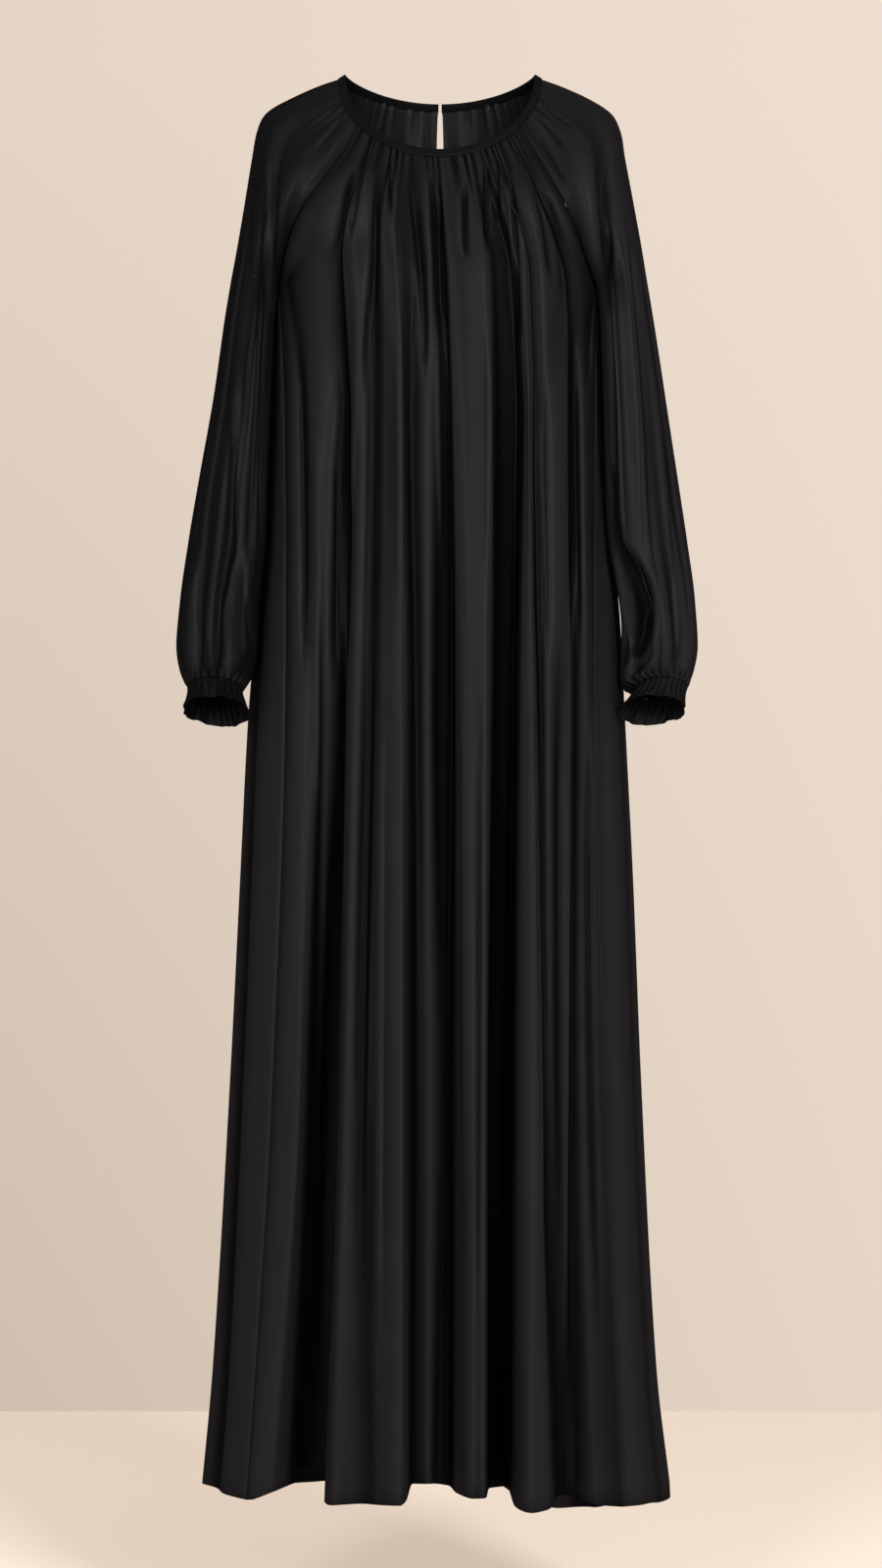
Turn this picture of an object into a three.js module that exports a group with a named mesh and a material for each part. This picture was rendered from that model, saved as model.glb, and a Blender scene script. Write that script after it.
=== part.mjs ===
// A long black robe with raglan sleeves, worn form with no wearer. Millimetres, +Z up, front towards -Y.
// The origin is level with the two neck corners, midway between them, where the wearer's shoulders carry it.
// Sleeves and cuffs are named for the wearer's side: the wearer's left is +X. In the tables and curves,
// left and right are the viewer's: left is -X.
import * as THREE from "three";

// Driving dimensions
const clothThickness = 1.5;
const seamGap = 0.3;
const neck = { halfWidth: 96, frontDepth: 85, backDepth: 68, frontDrop: 90, backDrop: 17 };
const binding = { height: 9, thickness: 3.4, steps: 54, cornerLean: 0.85, frontLean: 0.45, backLean: 0.35 };
const slit = { halfWidth: 3.6, rows: 5 };
const frontNeckAngle = 53; // from the front middle round to the raglan seam, in degrees
const backNeckAngle = 55; // from the back middle round to the raglan seam
const underarmZ = -218;
// Where the rows of points lie: shares of the raglan seam, from underarm to hem, and from underarm to cuff
const raglanStops = [0, 0.05, 0.12, 0.21, 0.3, 0.4, 0.53, 0.68, 0.84, 1];
const bodyStops = [0, 0.07, 0.17, 0.29, 0.42, 0.57, 0.72, 0.87, 1];
const sleeveStops = [0, 0.08, 0.19, 0.33, 0.47, 0.6, 0.71, 0.8, 0.88, 0.95, 1];
const frontColumns = 72;
const frontGathers = 24;
const backColumns = 57;
const backGathers = 18;
const sleeveColumns = 32;
const sleeveNeckGathers = 8;
const cuffColumns = 36;
const cuffGathers = 12;
const chestSwell = 3; // how far the cloth rounds out between the neck and the underarm
const ease = { reach: 130, times: 3 }; // how far about the underarm the slope is eased, and how often
const gatherDepth = 3; // how far a gather's groove sinks just below the binding
const leastNeckPitch = { front: 1.05, back: 1.15 }; // degrees of the neck between two columns of points
const gatherFade = 0.42; // share of the raglan length over which the small gathers die out
const cuff = { length: 26, flare: 6, ruffle: 1.6, stops: [0, 0.4, 0.75, 1] };

// Turns a header line and rows of numbers into rows with named columns
function table(header, rows) {
  const names = header.split(" ");
  return rows.map((row) => Object.fromEntries(names.map((name, i) => [name, row[i]])));
}

// The body's sections: half widths to the left and right of the middle, and depths forwards and backwards
const bodySections = table("z left right front back", [
  [-218, 164, 160, 116, 96],
  [-232, 169, 164, 117, 98],
  [-250, 172, 167, 119, 100],
  [-300, 176, 171, 122, 105],
  [-345, 177, 172, 124, 109],
  [-460, 180, 176, 130, 118],
  [-560, 188, 184, 136, 126],
  [-660, 196, 189, 141, 132],
  [-820, 204, 197, 150, 140],
  [-1020, 214, 205, 162, 150],
  [-1320, 232, 221, 180, 164],
  [-1440, 243, 235, 188, 170],
]);

// The levels that the fold tables give sizes at
const foldLevels = [-218, -343, -620, -1020, -1430];
const levelNames = ["underarm", "waist", "hip", "knee", "hem"];

// The front's crest and valley lines, from the wearer's right seam to the left one:
// x of each line at the five levels, how far it stands out there, and the height of its hem
const frontFolds = table(
  "column underarmX waistX hipX kneeX hemX underarmOut waistOut hipOut kneeOut hemOut hemZ",
  [
    [0, -163, -159, -157, -169, -193, 0, -3, -4, -4, -2, -1432],
    [2, -150, -148, -144, -154, -185, 0, 0, 0, 0, 0, -1430],
    [3, -144, -141, -136, -140, -170, 0, -1, -2, -3, -8, -1422],
    [5, -127, -123, -122, -136, -163, -1, -3, -10, -32, -58, -1419],
    [7, -100, -94, -97, -109, -126, -5, -14, -30, -58, -80, -1419],
    [9, -94, -86, -93, -102, -117, -1, -3, -8, -16, -26, -1429],
    [11, -84, -78, -84, -93, -104, 0, 0, 0, -1, -3, -1427],
    [14, -64, -65, -69, -77, -74, -6, -7, -7, -6, -4, -1424],
    [17, -52, -53, -55, -58, -58, -1, -1, -1, -1, -1, -1424],
    [20, -42, -42, -39, -37, -39, 0, 0, 0, 0, 0, -1424],
    [21, -39, -38, -35, -34, -33, -1, -1, -3, -6, -10, -1421],
    [24, -23, -28, -24, -22, -27, -7, -10, -22, -34, -52, -1412],
    [27, -7, -12, -12, -10, -13, -3, -6, -18, -34, -52, -1412],
    [29, -1, 1, -2, 3, -3, -8, -14, -30, -46, -58, -1413],
    [31, 5, 9, 12, 8, 8, -9, -18, -36, -50, -60, -1415],
    [33, 11, 13, 17, 18, 16, -2, -5, -12, -20, -26, -1416],
    [36, 28, 30, 33, 34, 32, 0, 0, 0, 0, 0, -1417],
    [39, 47, 47, 45, 44, 42, 0, 0, 0, 0, 0, -1417],
    [40, 51, 51, 49, 46, 45, -1, -2, -4, -6, -9, -1418],
    [42, 60, 60, 57, 51, 50, -7, -16, -32, -54, -74, -1421],
    [45, 76, 78, 76, 72, 69, -10, -20, -42, -64, -84, -1422],
    [47, 81, 85, 81, 77, 74, -1, -4, -8, -14, -22, -1430],
    [50, 88, 89, 91, 93, 90, 0, 0, 1, 3, 6, -1432],
    [52, 93, 93, 94, 98, 106, -1, -1, -1, -1, -1, -1431],
    [54, 97, 96, 100, 104, 116, -6, -10, -14, -14, -26, -1430],
    [57, 109, 109, 111, 114, 125, -2, -3, -6, -12, -48, -1429],
    [60, 130, 129, 131, 130, 137, -1, -2, -5, -12, -54, -1429],
    [63, 140, 138, 141, 140, 148, -6, -9, -18, -26, -48, -1431],
    [67, 149, 147, 148, 151, 166, -2, -4, -8, -14, -24, -1437],
    [72, 159, 156, 156, 165, 186, 0, 0, -2, -4, -10, -1440],
  ],
);

// The back's lines, from the left seam round the side and back to the right one. Angles run from the front
// middle, so 90 is the wearer's left side and 180 the back middle. An edge's angle follows the front's seam.
const backFolds = table(
  "column underarmAngle hipAngle hemAngle underarmOut waistOut hipOut kneeOut hemOut hemZ",
  [
    [0, 84, 57, 52, 0, 0, -2, -4, -10, -1440],
    [2, 90, 66, 61, 0, 1, 2, 2, 0, -1440],
    [4, 97, 78, 74, 0, 0, -1, -2, -4, -1446],
    [6, 106, 90, 90, 0, 0, 0, 0, 0, -1450],
    [9, 116, 102, 100, -4, -12, -22, -34, -46, -1452],
    [11, 124, 113, 112, 0, 0, 0, 0, 0, -1462],
    [14, 133, 124, 126, -6, -10, -14, -14, -12, -1474],
    [16, 141, 133, 137, 0, 0, 0, 0, 0, -1485],
    [19, 150, 141, 146, -7, -18, -32, -46, -58, -1478],
    [21, 158, 151, 156, 0, 0, 0, 0, 0, -1484],
    [24, 168, 163, 167, -9, -10, -12, -10, -8, -1462],
    [26, 175, 173, 175, 0, 0, 0, 0, 0, -1458],
    [28, 178.4, 178.9, 179.2, -3, -10, -24, -38, -52, -1455],
    [29, 181.6, 181.1, 180.8, -3, -11, -26, -40, -54, -1455],
    [31, 186, 190, 189, 0, 0, 0, 0, 0, -1458],
    [33, 192, 199, 197, -9, -9, -9, -8, -6, -1460],
    [36, 202, 210, 208, 0, 0, 0, 0, 0, -1462],
    [38, 210, 218, 216, -7, -18, -32, -46, -58, -1450],
    [41, 219, 228, 227, 0, 0, 0, 0, 0, -1460],
    [43, 228, 240, 240, -6, -8, -12, -12, -10, -1457],
    [46, 236, 250, 250, 0, 0, 0, 0, 0, -1450],
    [48, 244, 260, 261, -4, -12, -22, -33, -42, -1444],
    [51, 254, 271, 271, 0, 0, 0, 0, 0, -1436],
    [54, 263, 284, 287, 0, -2, -4, -6, -8, -1432],
    [56, 270, 295, 298, 0, -1, -1, -1, -2, -1432],
    [57, 276, 305, 308, 0, -3, -4, -4, -2, -1432],
  ],
);

// Guide points of the raglan seams between the neck and the underarm, with how far out they lie on each side
const frontRaglan = table("leftX rightX y z", [
  [95, 94, -62, -84],
  [108, 105, -72, -105],
  [125, 117, -77, -127],
  [143, 131, -73, -155],
  [157, 146, -52, -193],
]);
const backRaglan = table("leftX rightX y z", [
  [98, 98, 56, -50],
  [119, 117, 63, -90],
  [137, 134, 54, -134],
  [153, 149, 33, -182],
]);
const shoulderLine = table("leftX rightX y z", [
  [124, 123, 0, -11],
  [151, 150, 0, -23],
  [173, 170, 0, -35],
  [181, 178, 0, -43],
  [187.5, 185, -1, -60],
  [191.5, 188.5, -2, -83],
  [198, 196, -3, -123],
  [206, 205, -4, -173],
]);

// The sleeve's sections, from the underarm to the cuff: how far out it reaches on each side, its inner point
// with how far forward that lies, and the depth range
const sleeveSections = table("leftX rightX outerZ leftInnerX rightInnerX innerZ innerY frontY backY", [
  [213, 211, -212, 163.5, 159.5, -218, -12, -68, 62],
  [219, 217, -250, 166.5, 161.5, -258, -52, -73, 58],
  [230, 229, -330, 169.5, 164, -334, -58, -79, 52],
  [243, 240, -405, 172.5, 166, -409, -60, -84, 46],
  [254.5, 250, -475, 175, 170, -480, -60, -90, 38],
  [262.5, 257.5, -535, 182, 180, -538, -52, -95, 26],
  [266, 260, -582, 184, 186, -586, -40, -98, 12],
  [262, 255.5, -610, 189, 192, -612, -36, -94, -4],
  [254, 249, -626, 199, 196, -628, -50, -80, -26],
]);
// The way that each cuff points, seen on the side of +X
const cuffAxes = {
  left: new THREE.Vector3(-0.08, -0.54, -0.84).normalize(),
  right: new THREE.Vector3(-0.32, -0.5, -0.8).normalize(),
};
const cuffTilt = 11; // how far the front of the sleeve's end is raised, and the back lowered

// Grooves along a sleeve: the share of the way from underarm to cuff (below 0 it is on the raglan part),
// the angle from the inner seam through the front, half its width in degrees, and its depth, which is
// below 0 where the cloth stands out beside the raglan seam, level with the chest
const sleeveGrooves = {
  left: table("share angle halfWidth depth", [
    [-0.85, 130, 30, 0],
    [-0.6, 108, 32, 4],
    [-0.4, 82, 32, 6],
    [-0.18, 56, 30, 5],
    [0.02, 38, 26, 3],
    [0.14, 26, 24, 0],
  ]),
  leftPanel: table("share angle halfWidth depth", [
    [-0.85, 80, 34, 0],
    [-0.6, 60, 40, -4],
    [-0.4, 42, 40, -4],
    [-0.18, 24, 30, -2],
    [0, 12, 20, 0],
  ]),
  leftLow: table("share angle halfWidth depth", [
    [0.2, 66, 26, 0],
    [0.4, 62, 26, 6],
    [0.6, 58, 26, 11],
    [0.8, 62, 24, 10],
    [0.92, 66, 20, 6],
    [1, 66, 20, 0],
  ]),
  leftOuter: table("share angle halfWidth depth", [
    [0.45, 122, 26, 0],
    [0.65, 124, 26, 6],
    [0.85, 124, 22, 8],
    [1, 120, 20, 0],
  ]),
  right: table("share angle halfWidth depth", [
    [-0.85, 130, 30, 0],
    [-0.6, 108, 32, 4],
    [-0.4, 82, 32, 6],
    [-0.18, 56, 30, 5],
    [0.02, 38, 26, 3],
    [0.14, 26, 24, 0],
  ]),
  rightPanel: table("share angle halfWidth depth", [
    [-0.85, 80, 34, 0],
    [-0.6, 60, 40, -4],
    [-0.4, 42, 40, -4],
    [-0.18, 24, 30, -2],
    [0, 12, 20, 0],
  ]),
  rightLow: table("share angle halfWidth depth", [
    [0.36, 16, 26, 0],
    [0.55, 24, 26, 12],
    [0.7, 40, 28, 24],
    [0.82, 54, 26, 22],
    [0.92, 48, 22, 10],
    [1, 40, 22, 0],
  ]),
  rightOuter: table("share angle halfWidth depth", [
    [0.1, 118, 26, 0],
    [0.4, 112, 26, 5],
    [0.8, 118, 24, 9],
    [1, 118, 20, 0],
  ]),
  back: table("share angle halfWidth depth", [
    [-0.5, 236, 24, 0],
    [-0.1, 262, 28, 5],
    [0.2, 272, 28, 5],
    [0.5, 258, 26, 9],
    [0.8, 244, 24, 8],
    [1, 240, 22, 0],
  ]),
  outer: table("share angle halfWidth depth", [
    [0.15, 214, 26, 0],
    [0.5, 206, 26, 7],
    [0.85, 200, 24, 6],
    [1, 200, 22, 0],
  ]),
};

const radians = THREE.MathUtils.degToRad;
const degrees = THREE.MathUtils.radToDeg;
const lerp = THREE.MathUtils.lerp;
const smoothstep = THREE.MathUtils.smoothstep;

// A smooth curve through the points (xs, ys) that never swings past them
function curveThrough(xs, ys) {
  const rises = xs.slice(1).map((x, i) => (ys[i + 1] - ys[i]) / (x - xs[i]));
  const slopes = xs.map((_, i) => {
    if (i === 0) return rises[0];
    if (i === xs.length - 1) return rises[i - 1];
    const [a, b] = [rises[i - 1], rises[i]];
    return a * b <= 0 ? 0 : (2 * a * b) / (a + b);
  });
  return (x) => {
    let i = 0;
    while (i < xs.length - 2 && x > xs[i + 1]) i += 1;
    const width = xs[i + 1] - xs[i];
    const t = THREE.MathUtils.clamp((x - xs[i]) / width, 0, 1);
    const [t2, t3] = [t * t, t * t * t];
    return (
      (2 * t3 - 3 * t2 + 1) * ys[i] +
      (t3 - 2 * t2 + t) * width * slopes[i] +
      (3 * t2 - 2 * t3) * ys[i + 1] +
      (t3 - t2) * width * slopes[i + 1]
    );
  };
}

// A column of a table as a curve along another column, whichever way that one runs
function tableCurve(rows, along, name) {
  const sorted = [...rows].sort((a, b) => a[along] - b[along]);
  return curveThrough(
    sorted.map((row) => row[along]),
    sorted.map((row) => row[name]),
  );
}

const bodyLeft = tableCurve(bodySections, "z", "left");
const bodyRight = tableCurve(bodySections, "z", "right");
const bodyFront = tableCurve(bodySections, "z", "front");
const bodyBack = tableCurve(bodySections, "z", "back");

// Half the body's width on the side that a sign gives: the picture's right is positive
function halfWidthAt(side, z) {
  return side < 0 ? bodyLeft(z) : bodyRight(z);
}

// A point of the body's plain form, moved out by a distance. Angles run from the front middle, in degrees.
function bodyPoint(angle, z, out) {
  const [s, c] = [Math.sin(radians(angle)), Math.cos(radians(angle))];
  const width = halfWidthAt(s, z);
  const depth = c > 0 ? bodyFront(z) : bodyBack(z);
  const outward = new THREE.Vector2(s ** 3, -c).normalize();
  return new THREE.Vector3(width * s + outward.x * out, -depth * c + outward.y * out, z);
}

// The neck's upper edge, and the seam below the binding. 0 degrees is the front middle, 90 the corner.
function neckTop(angle) {
  const [s, c] = [Math.sin(radians(angle)), Math.cos(radians(angle))];
  if (c > 0) return new THREE.Vector3(neck.halfWidth * s, -neck.frontDepth * c, -neck.frontDrop * c);
  return new THREE.Vector3(neck.halfWidth * s, neck.backDepth * (-c) ** 1.4, -neck.backDrop * (-c) ** 1.6);
}

function bindingDown(angle) {
  const [s, c] = [Math.sin(radians(angle)), Math.cos(radians(angle))];
  const lean = c > 0 ? binding.frontLean : binding.backLean;
  const level = new THREE.Vector3(binding.cornerLean * s, -lean * c, 0);
  level.z = -Math.sqrt(Math.max(0.1, 1 - level.lengthSq()));
  return level.normalize();
}

function neckSeam(angle) {
  return neckTop(angle).addScaledVector(bindingDown(angle), binding.height + seamGap);
}

// Points spread evenly by length along a smooth curve through guide points, at the given shares
function alongCurve(points, shares) {
  const curve = new THREE.CatmullRomCurve3(points, false, "centripetal");
  curve.arcLengthDivisions = 400;
  return shares.map((share) => curve.getPointAt(share));
}

// The four-sided patch that fills four edge curves, at column share u and row share v.
// Each side curve acts on the cloth as far in as the reach, which is a share of the patch's width.
function patch(top, bottom, left, right, corners, u, v, reach) {
  const fromLeft = left.clone().sub(corners.topLeft.clone().lerp(corners.bottomLeft, v));
  const fromRight = right.clone().sub(corners.topRight.clone().lerp(corners.bottomRight, v));
  const weight = (away) => (reach < 1 ? 1 - smoothstep(away, 0, reach) : 1 - away);
  const flat = top.clone().lerp(bottom, v);
  return flat.addScaledVector(fromLeft, weight(u)).addScaledVector(fromRight, weight(1 - u));
}

// How deep the small neck gathers are at a share of the raglan length, from 0 to 1
function gatherStrength(share) {
  return Math.max(0, 1 - share / gatherFade) ** 1.5 * Math.min(1, 0.75 + share * 4);
}

// A gather's own form: a narrow groove between broad crests, from 0 on a crest to -1 in the groove
function gatherWave(turns) {
  const phase = Math.abs(turns - Math.round(turns)) * 2;
  return -(0.5 + 0.5 * Math.cos(Math.PI * Math.min(1, phase * 1.35)));
}

// How far the large folds have opened at a share of the raglan length
function foldOpening(share) {
  return smoothstep(share, 0, 0.55);
}

const underarmPoint = (side) => bodyPoint(side > 0 ? 84 : 276, underarmZ, 0);
const raglanCurve = (guides, neckAngle, side) =>
  alongCurve(
    [
      neckSeam(neckAngle),
      ...guides.map((at) => new THREE.Vector3(side > 0 ? at.rightX : -at.leftX, at.y, at.z)),
      underarmPoint(side),
    ],
    raglanStops,
  );
const frontSeams = {
  left: raglanCurve(frontRaglan, -frontNeckAngle, -1),
  right: raglanCurve(frontRaglan, frontNeckAngle, 1),
};
const backSeams = {
  left: raglanCurve(backRaglan, 180 + backNeckAngle, -1),
  right: raglanCurve(backRaglan, 180 - backNeckAngle, 1),
};

// A fold's size at one height, from its values at the five levels
function sizeAtHeight(fold, quantity, z) {
  const values = levelNames.map((level) => fold[level + quantity]);
  return curveThrough(foldLevels.map((level) => -level), values)(-z);
}

const foldOuts = (folds, z) => folds.map((fold) => sizeAtHeight(fold, "Out", z));

// The body's section at one height: the angle and the stand-out of each column of the front
function frontSection(z) {
  const angles = frontFolds.map((fold) => {
    const x = sizeAtHeight(fold, "X", z);
    return degrees(Math.asin(THREE.MathUtils.clamp(x / halfWidthAt(x, z), -1, 1)));
  });
  const columns = frontFolds.map((fold) => fold.column);
  return { angle: curveThrough(columns, angles), out: curveThrough(columns, foldOuts(frontFolds, z)) };
}

// The same for the back, whose end columns are the front's
function backSection(z) {
  const share = (-z + underarmZ) / (foldLevels.at(-1) * -1 + underarmZ);
  const hipShare = (underarmZ - foldLevels[2]) / (underarmZ - foldLevels.at(-1));
  const seams = frontSection(z);
  const angles = backFolds.map((fold) => {
    if (fold.column === 0) return seams.angle(frontColumns);
    if (fold.column === backColumns) return 360 + seams.angle(0);
    return curveThrough([0, hipShare, 1], [fold.underarmAngle, fold.hipAngle, fold.hemAngle])(share);
  });
  const outs = foldOuts(backFolds, z);
  outs[0] = seams.out(frontColumns);
  outs[outs.length - 1] = seams.out(0);
  const columns = backFolds.map((fold) => fold.column);
  return { angle: curveThrough(columns, angles), out: curveThrough(columns, outs) };
}

// The rows of a body panel below the underarm: points and the heights that follow the hem
function lowerRow(section, folds, columnCount, share) {
  const hemZ = tableCurve(folds, "column", "hemZ");
  return Array.from({ length: columnCount + 1 }, (_, column) => {
    const z = lerp(underarmZ, hemZ(column), share);
    const at = section(Math.max(z, foldLevels.at(-1)));
    return bodyPoint(at.angle(column), z, at.out(column));
  });
}

// Widens the steps between rising angles to a least size and narrows the others, so that the ends stay
function spreadAngles(angles, least) {
  const steps = angles.slice(1).map((angle, i) => angle - angles[i]);
  const spare = steps.reduce((sum, step) => sum + Math.max(0, step - least), 0);
  const shrink = (angles.at(-1) - angles[0] - least * steps.length) / spare;
  const widened = steps.map((step) => least + Math.max(0, step - least) * shrink);
  return widened.reduce((spread, step) => [...spread, spread.at(-1) + step], [angles[0]]);
}

// The rows of a panel between the neck and the underarm, where its folds turn to the way that the skirt's go
function upperRows(neckAngles, leftSeam, rightSeam, plainRow, foldedRow, foldOut, waveAt) {
  const count = neckAngles.length - 1;
  const neckAt = (column) => neckSeam(neckAngles[THREE.MathUtils.clamp(column, 0, count)]);
  const plainPoint = (row, column) =>
    patch(
      neckAt(column),
      plainRow[column],
      leftSeam[row],
      rightSeam[row],
      corners,
      column / count,
      raglanStops[row],
      0.45,
    );
  const corners = {
    topLeft: leftSeam[0],
    topRight: rightSeam[0],
    bottomLeft: leftSeam.at(-1),
    bottomRight: rightSeam.at(-1),
  };
  return raglanStops.slice(0, -1).map((share, row) =>
    neckAngles.map((angle, column) => {
      const outward = chestOutward(angle);
      const edge = Math.min(1, (12 * Math.min(column, count - column)) / count);
      const above = outward.clone().multiplyScalar(foldOut(column) * edge);
      const below = foldedRow[column].clone().sub(plainRow[column]);
      const folds = above.lerp(below, smoothstep(share, 0.55, 1));
      const swell = chestSwell * 4 * share * (1 - share) * Math.sin((Math.PI * column) / count);
      const pitch = neckAt(column + 1).distanceTo(neckAt(column - 1));
      const gathers = waveAt(column) * gatherDepth * gatherStrength(share) * edge * Math.min(1, pitch / 5);
      const point = plainPoint(row, column);
      if (column % count === 0) return point;
      return point.addScaledVector(folds, foldOpening(share)).addScaledVector(outward, gathers + swell);
    }),
  );
}

// Eases the slope from chest to skirt: each column is smoothed down its length about the underarm
function eased(rows) {
  let now = rows;
  for (let time = 0; time < ease.times; time += 1) {
    now = now.map((row, r) =>
      row.map((p, c) => {
        if (r === 0 || r === now.length - 1) return p;
        const offSeam = smoothstep(Math.min(c, row.length - 1 - c) / row.length, 0.02, 0.12);
        const near = smoothstep(1 - Math.abs(p.z - underarmZ) / ease.reach, 0, 0.6);
        const [above, below] = [now[r - 1][c], now[r + 1][c]];
        const [up, down] = [above.distanceTo(p), below.distanceTo(p)];
        return p.clone().lerp(above.clone().lerp(below, up / (up + down)), offSeam * near * 0.5);
      }),
    );
  }
  return now;
}

// How much of a panel's neck angle a column has reached, for how far out it lies at the underarm
const frontReach = curveThrough([0, 0.25, 0.5, 0.75, 1], [0, 0.36, 0.64, 0.85, 1]);
const backReach = curveThrough([0, 0.15, 0.3, 0.5, 0.75, 1], [0, 0.3, 0.53, 0.74, 0.9, 1]);

// The way out of the cloth on the chest and shoulders at a neck angle
function chestOutward(angle) {
  const [s, c] = [Math.sin(radians(angle)), Math.cos(radians(angle))];
  return new THREE.Vector3(0.75 * s, -0.9 * c, 0.3).normalize();
}

// A panel's plain row at the underarm, without its folds
function underarmRow(section, columnCount) {
  const plain = section(underarmZ);
  return Array.from({ length: columnCount + 1 }, (_, column) => bodyPoint(plain.angle(column), underarmZ, 0));
}

// The front panel's rows of points, from the neck to the hem
function frontRows() {
  const flat = underarmRow(frontSection, frontColumns);
  const angles = flat.map(({ x }) => {
    const edge = x < 0 ? flat[0].x : flat[frontColumns].x;
    return Math.sign(x) * frontNeckAngle * frontReach(x / edge);
  });
  const upper = upperRows(
    spreadAngles(angles, leastNeckPitch.front),
    frontSeams.left,
    frontSeams.right,
    flat,
    lowerRow(frontSection, frontFolds, frontColumns, 0),
    frontSection(underarmZ).out,
    (column) => gatherWave((column * frontGathers) / frontColumns),
  );
  const lower = bodyStops.map((share) => lowerRow(frontSection, frontFolds, frontColumns, share));
  return eased([...upper, ...lower]);
}

// The back panel's rows. Its two middle columns are the edges of the neck slit, a small step apart below it.
function backRows() {
  const plain = backSection(underarmZ);
  const flat = underarmRow(backSection, backColumns);
  const middle = (backColumns - 1) / 2;
  const edge = degrees(Math.asin(slit.halfWidth / neck.halfWidth));
  const angles = flat.map((_, column) => {
    const side = column <= middle ? -1 : 1;
    const away = (at) => Math.abs(plain.angle(at) - 180);
    const inmost = away(middle);
    const reach = backReach((away(column) - inmost) / (away(side < 0 ? 0 : backColumns) - inmost));
    return 180 + side * lerp(edge, backNeckAngle, reach);
  });
  const upper = upperRows(
    spreadAngles(angles, leastNeckPitch.back),
    backSeams.right,
    backSeams.left,
    flat,
    lowerRow(backSection, backFolds, backColumns, 0),
    plain.out,
    (column) => gatherWave(((column <= middle ? column : column - 1) * backGathers) / (backColumns - 1)),
  );
  const lower = bodyStops.map((share) => lowerRow(backSection, backFolds, backColumns, share));
  return eased([...upper, ...lower]);
}

const sleeveCurve = Object.fromEntries(
  Object.keys(sleeveSections[0]).map((name) => [
    name,
    curveThrough(
      sleeveSections.map((_, i) => i / (sleeveSections.length - 1)),
      sleeveSections.map((section) => section[name]),
    ),
  ]),
);

// A point of a sleeve ring, on the side of +X. The angle runs from the inner seam through the front
// to the outer edge at 180.
function sleeveRingPoint(side, share, angle) {
  const at = (name) => sleeveCurve[name](share);
  const [outerX, innerX] = side < 0 ? [at("leftX"), at("leftInnerX")] : [at("rightX"), at("rightInnerX")];
  const [s, c] = [Math.sin(radians(angle)), Math.cos(radians(angle))];
  const inward = (1 + c) / 2;
  const halfDepth = (at("backY") - at("frontY")) / 2;
  const middleY = (at("frontY") + at("backY")) / 2;
  const point = 1.7 * inward ** 2 * (1 - smoothstep(share, 0.5, 0.95)) * (s < 0 ? 1 : 0.25);
  const across = c > 0 ? c ** (1 + point) : c;
  const tilt = smoothstep(share, 0.6, 1) * cuffTilt;
  return new THREE.Vector3(
    (outerX + innerX) / 2 - ((outerX - innerX) / 2) * across,
    middleY - halfDepth * s + (at("innerY") - middleY) * inward ** 3,
    lerp(at("outerZ"), at("innerZ"), inward) + tilt * s,
  );
}

// How far the grooves sink a sleeve's cloth at a share of its length and an angle
function sleeveGroove(side, share, angle) {
  const own = ["", "Panel", "Low", "Outer"].map((end) => (side < 0 ? "left" : "right") + end);
  return [...own, "back", "outer"].reduce((sum, name) => {
    const rows = sleeveGrooves[name];
    const depth = tableCurve(rows, "share", "depth")(share);
    const width = tableCurve(rows, "share", "halfWidth")(share);
    const away = Math.abs(angle - tableCurve(rows, "share", "angle")(share)) / width;
    return away < 1 ? sum - depth * (0.5 + 0.5 * Math.cos(Math.PI * away)) : sum;
  }, 0);
}

// How strongly the sleeve is drawn into small gathers above the cuff
function cuffGatherStrength(share) {
  return smoothstep(share, 0.84, 1);
}

// Moves each point of a surface's rows out by its own amount, along the surface's normal there
function pushOut(rows, amount) {
  const at = (r, c) => {
    const row = rows[THREE.MathUtils.clamp(r, 0, rows.length - 1)];
    const isRing = row.length === sleeveColumns;
    return row[isRing ? (c + sleeveColumns) % sleeveColumns : THREE.MathUtils.clamp(c, 0, sleeveColumns)];
  };
  return rows.map((row, r) =>
    row.map((p, c) => {
      const down = at(r + 1, c).clone().sub(at(r - 1, c));
      const along = at(r, c + 1).clone().sub(at(r, c - 1));
      return p.clone().addScaledVector(down.cross(along).normalize(), amount(r, c));
    }),
  );
}

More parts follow.
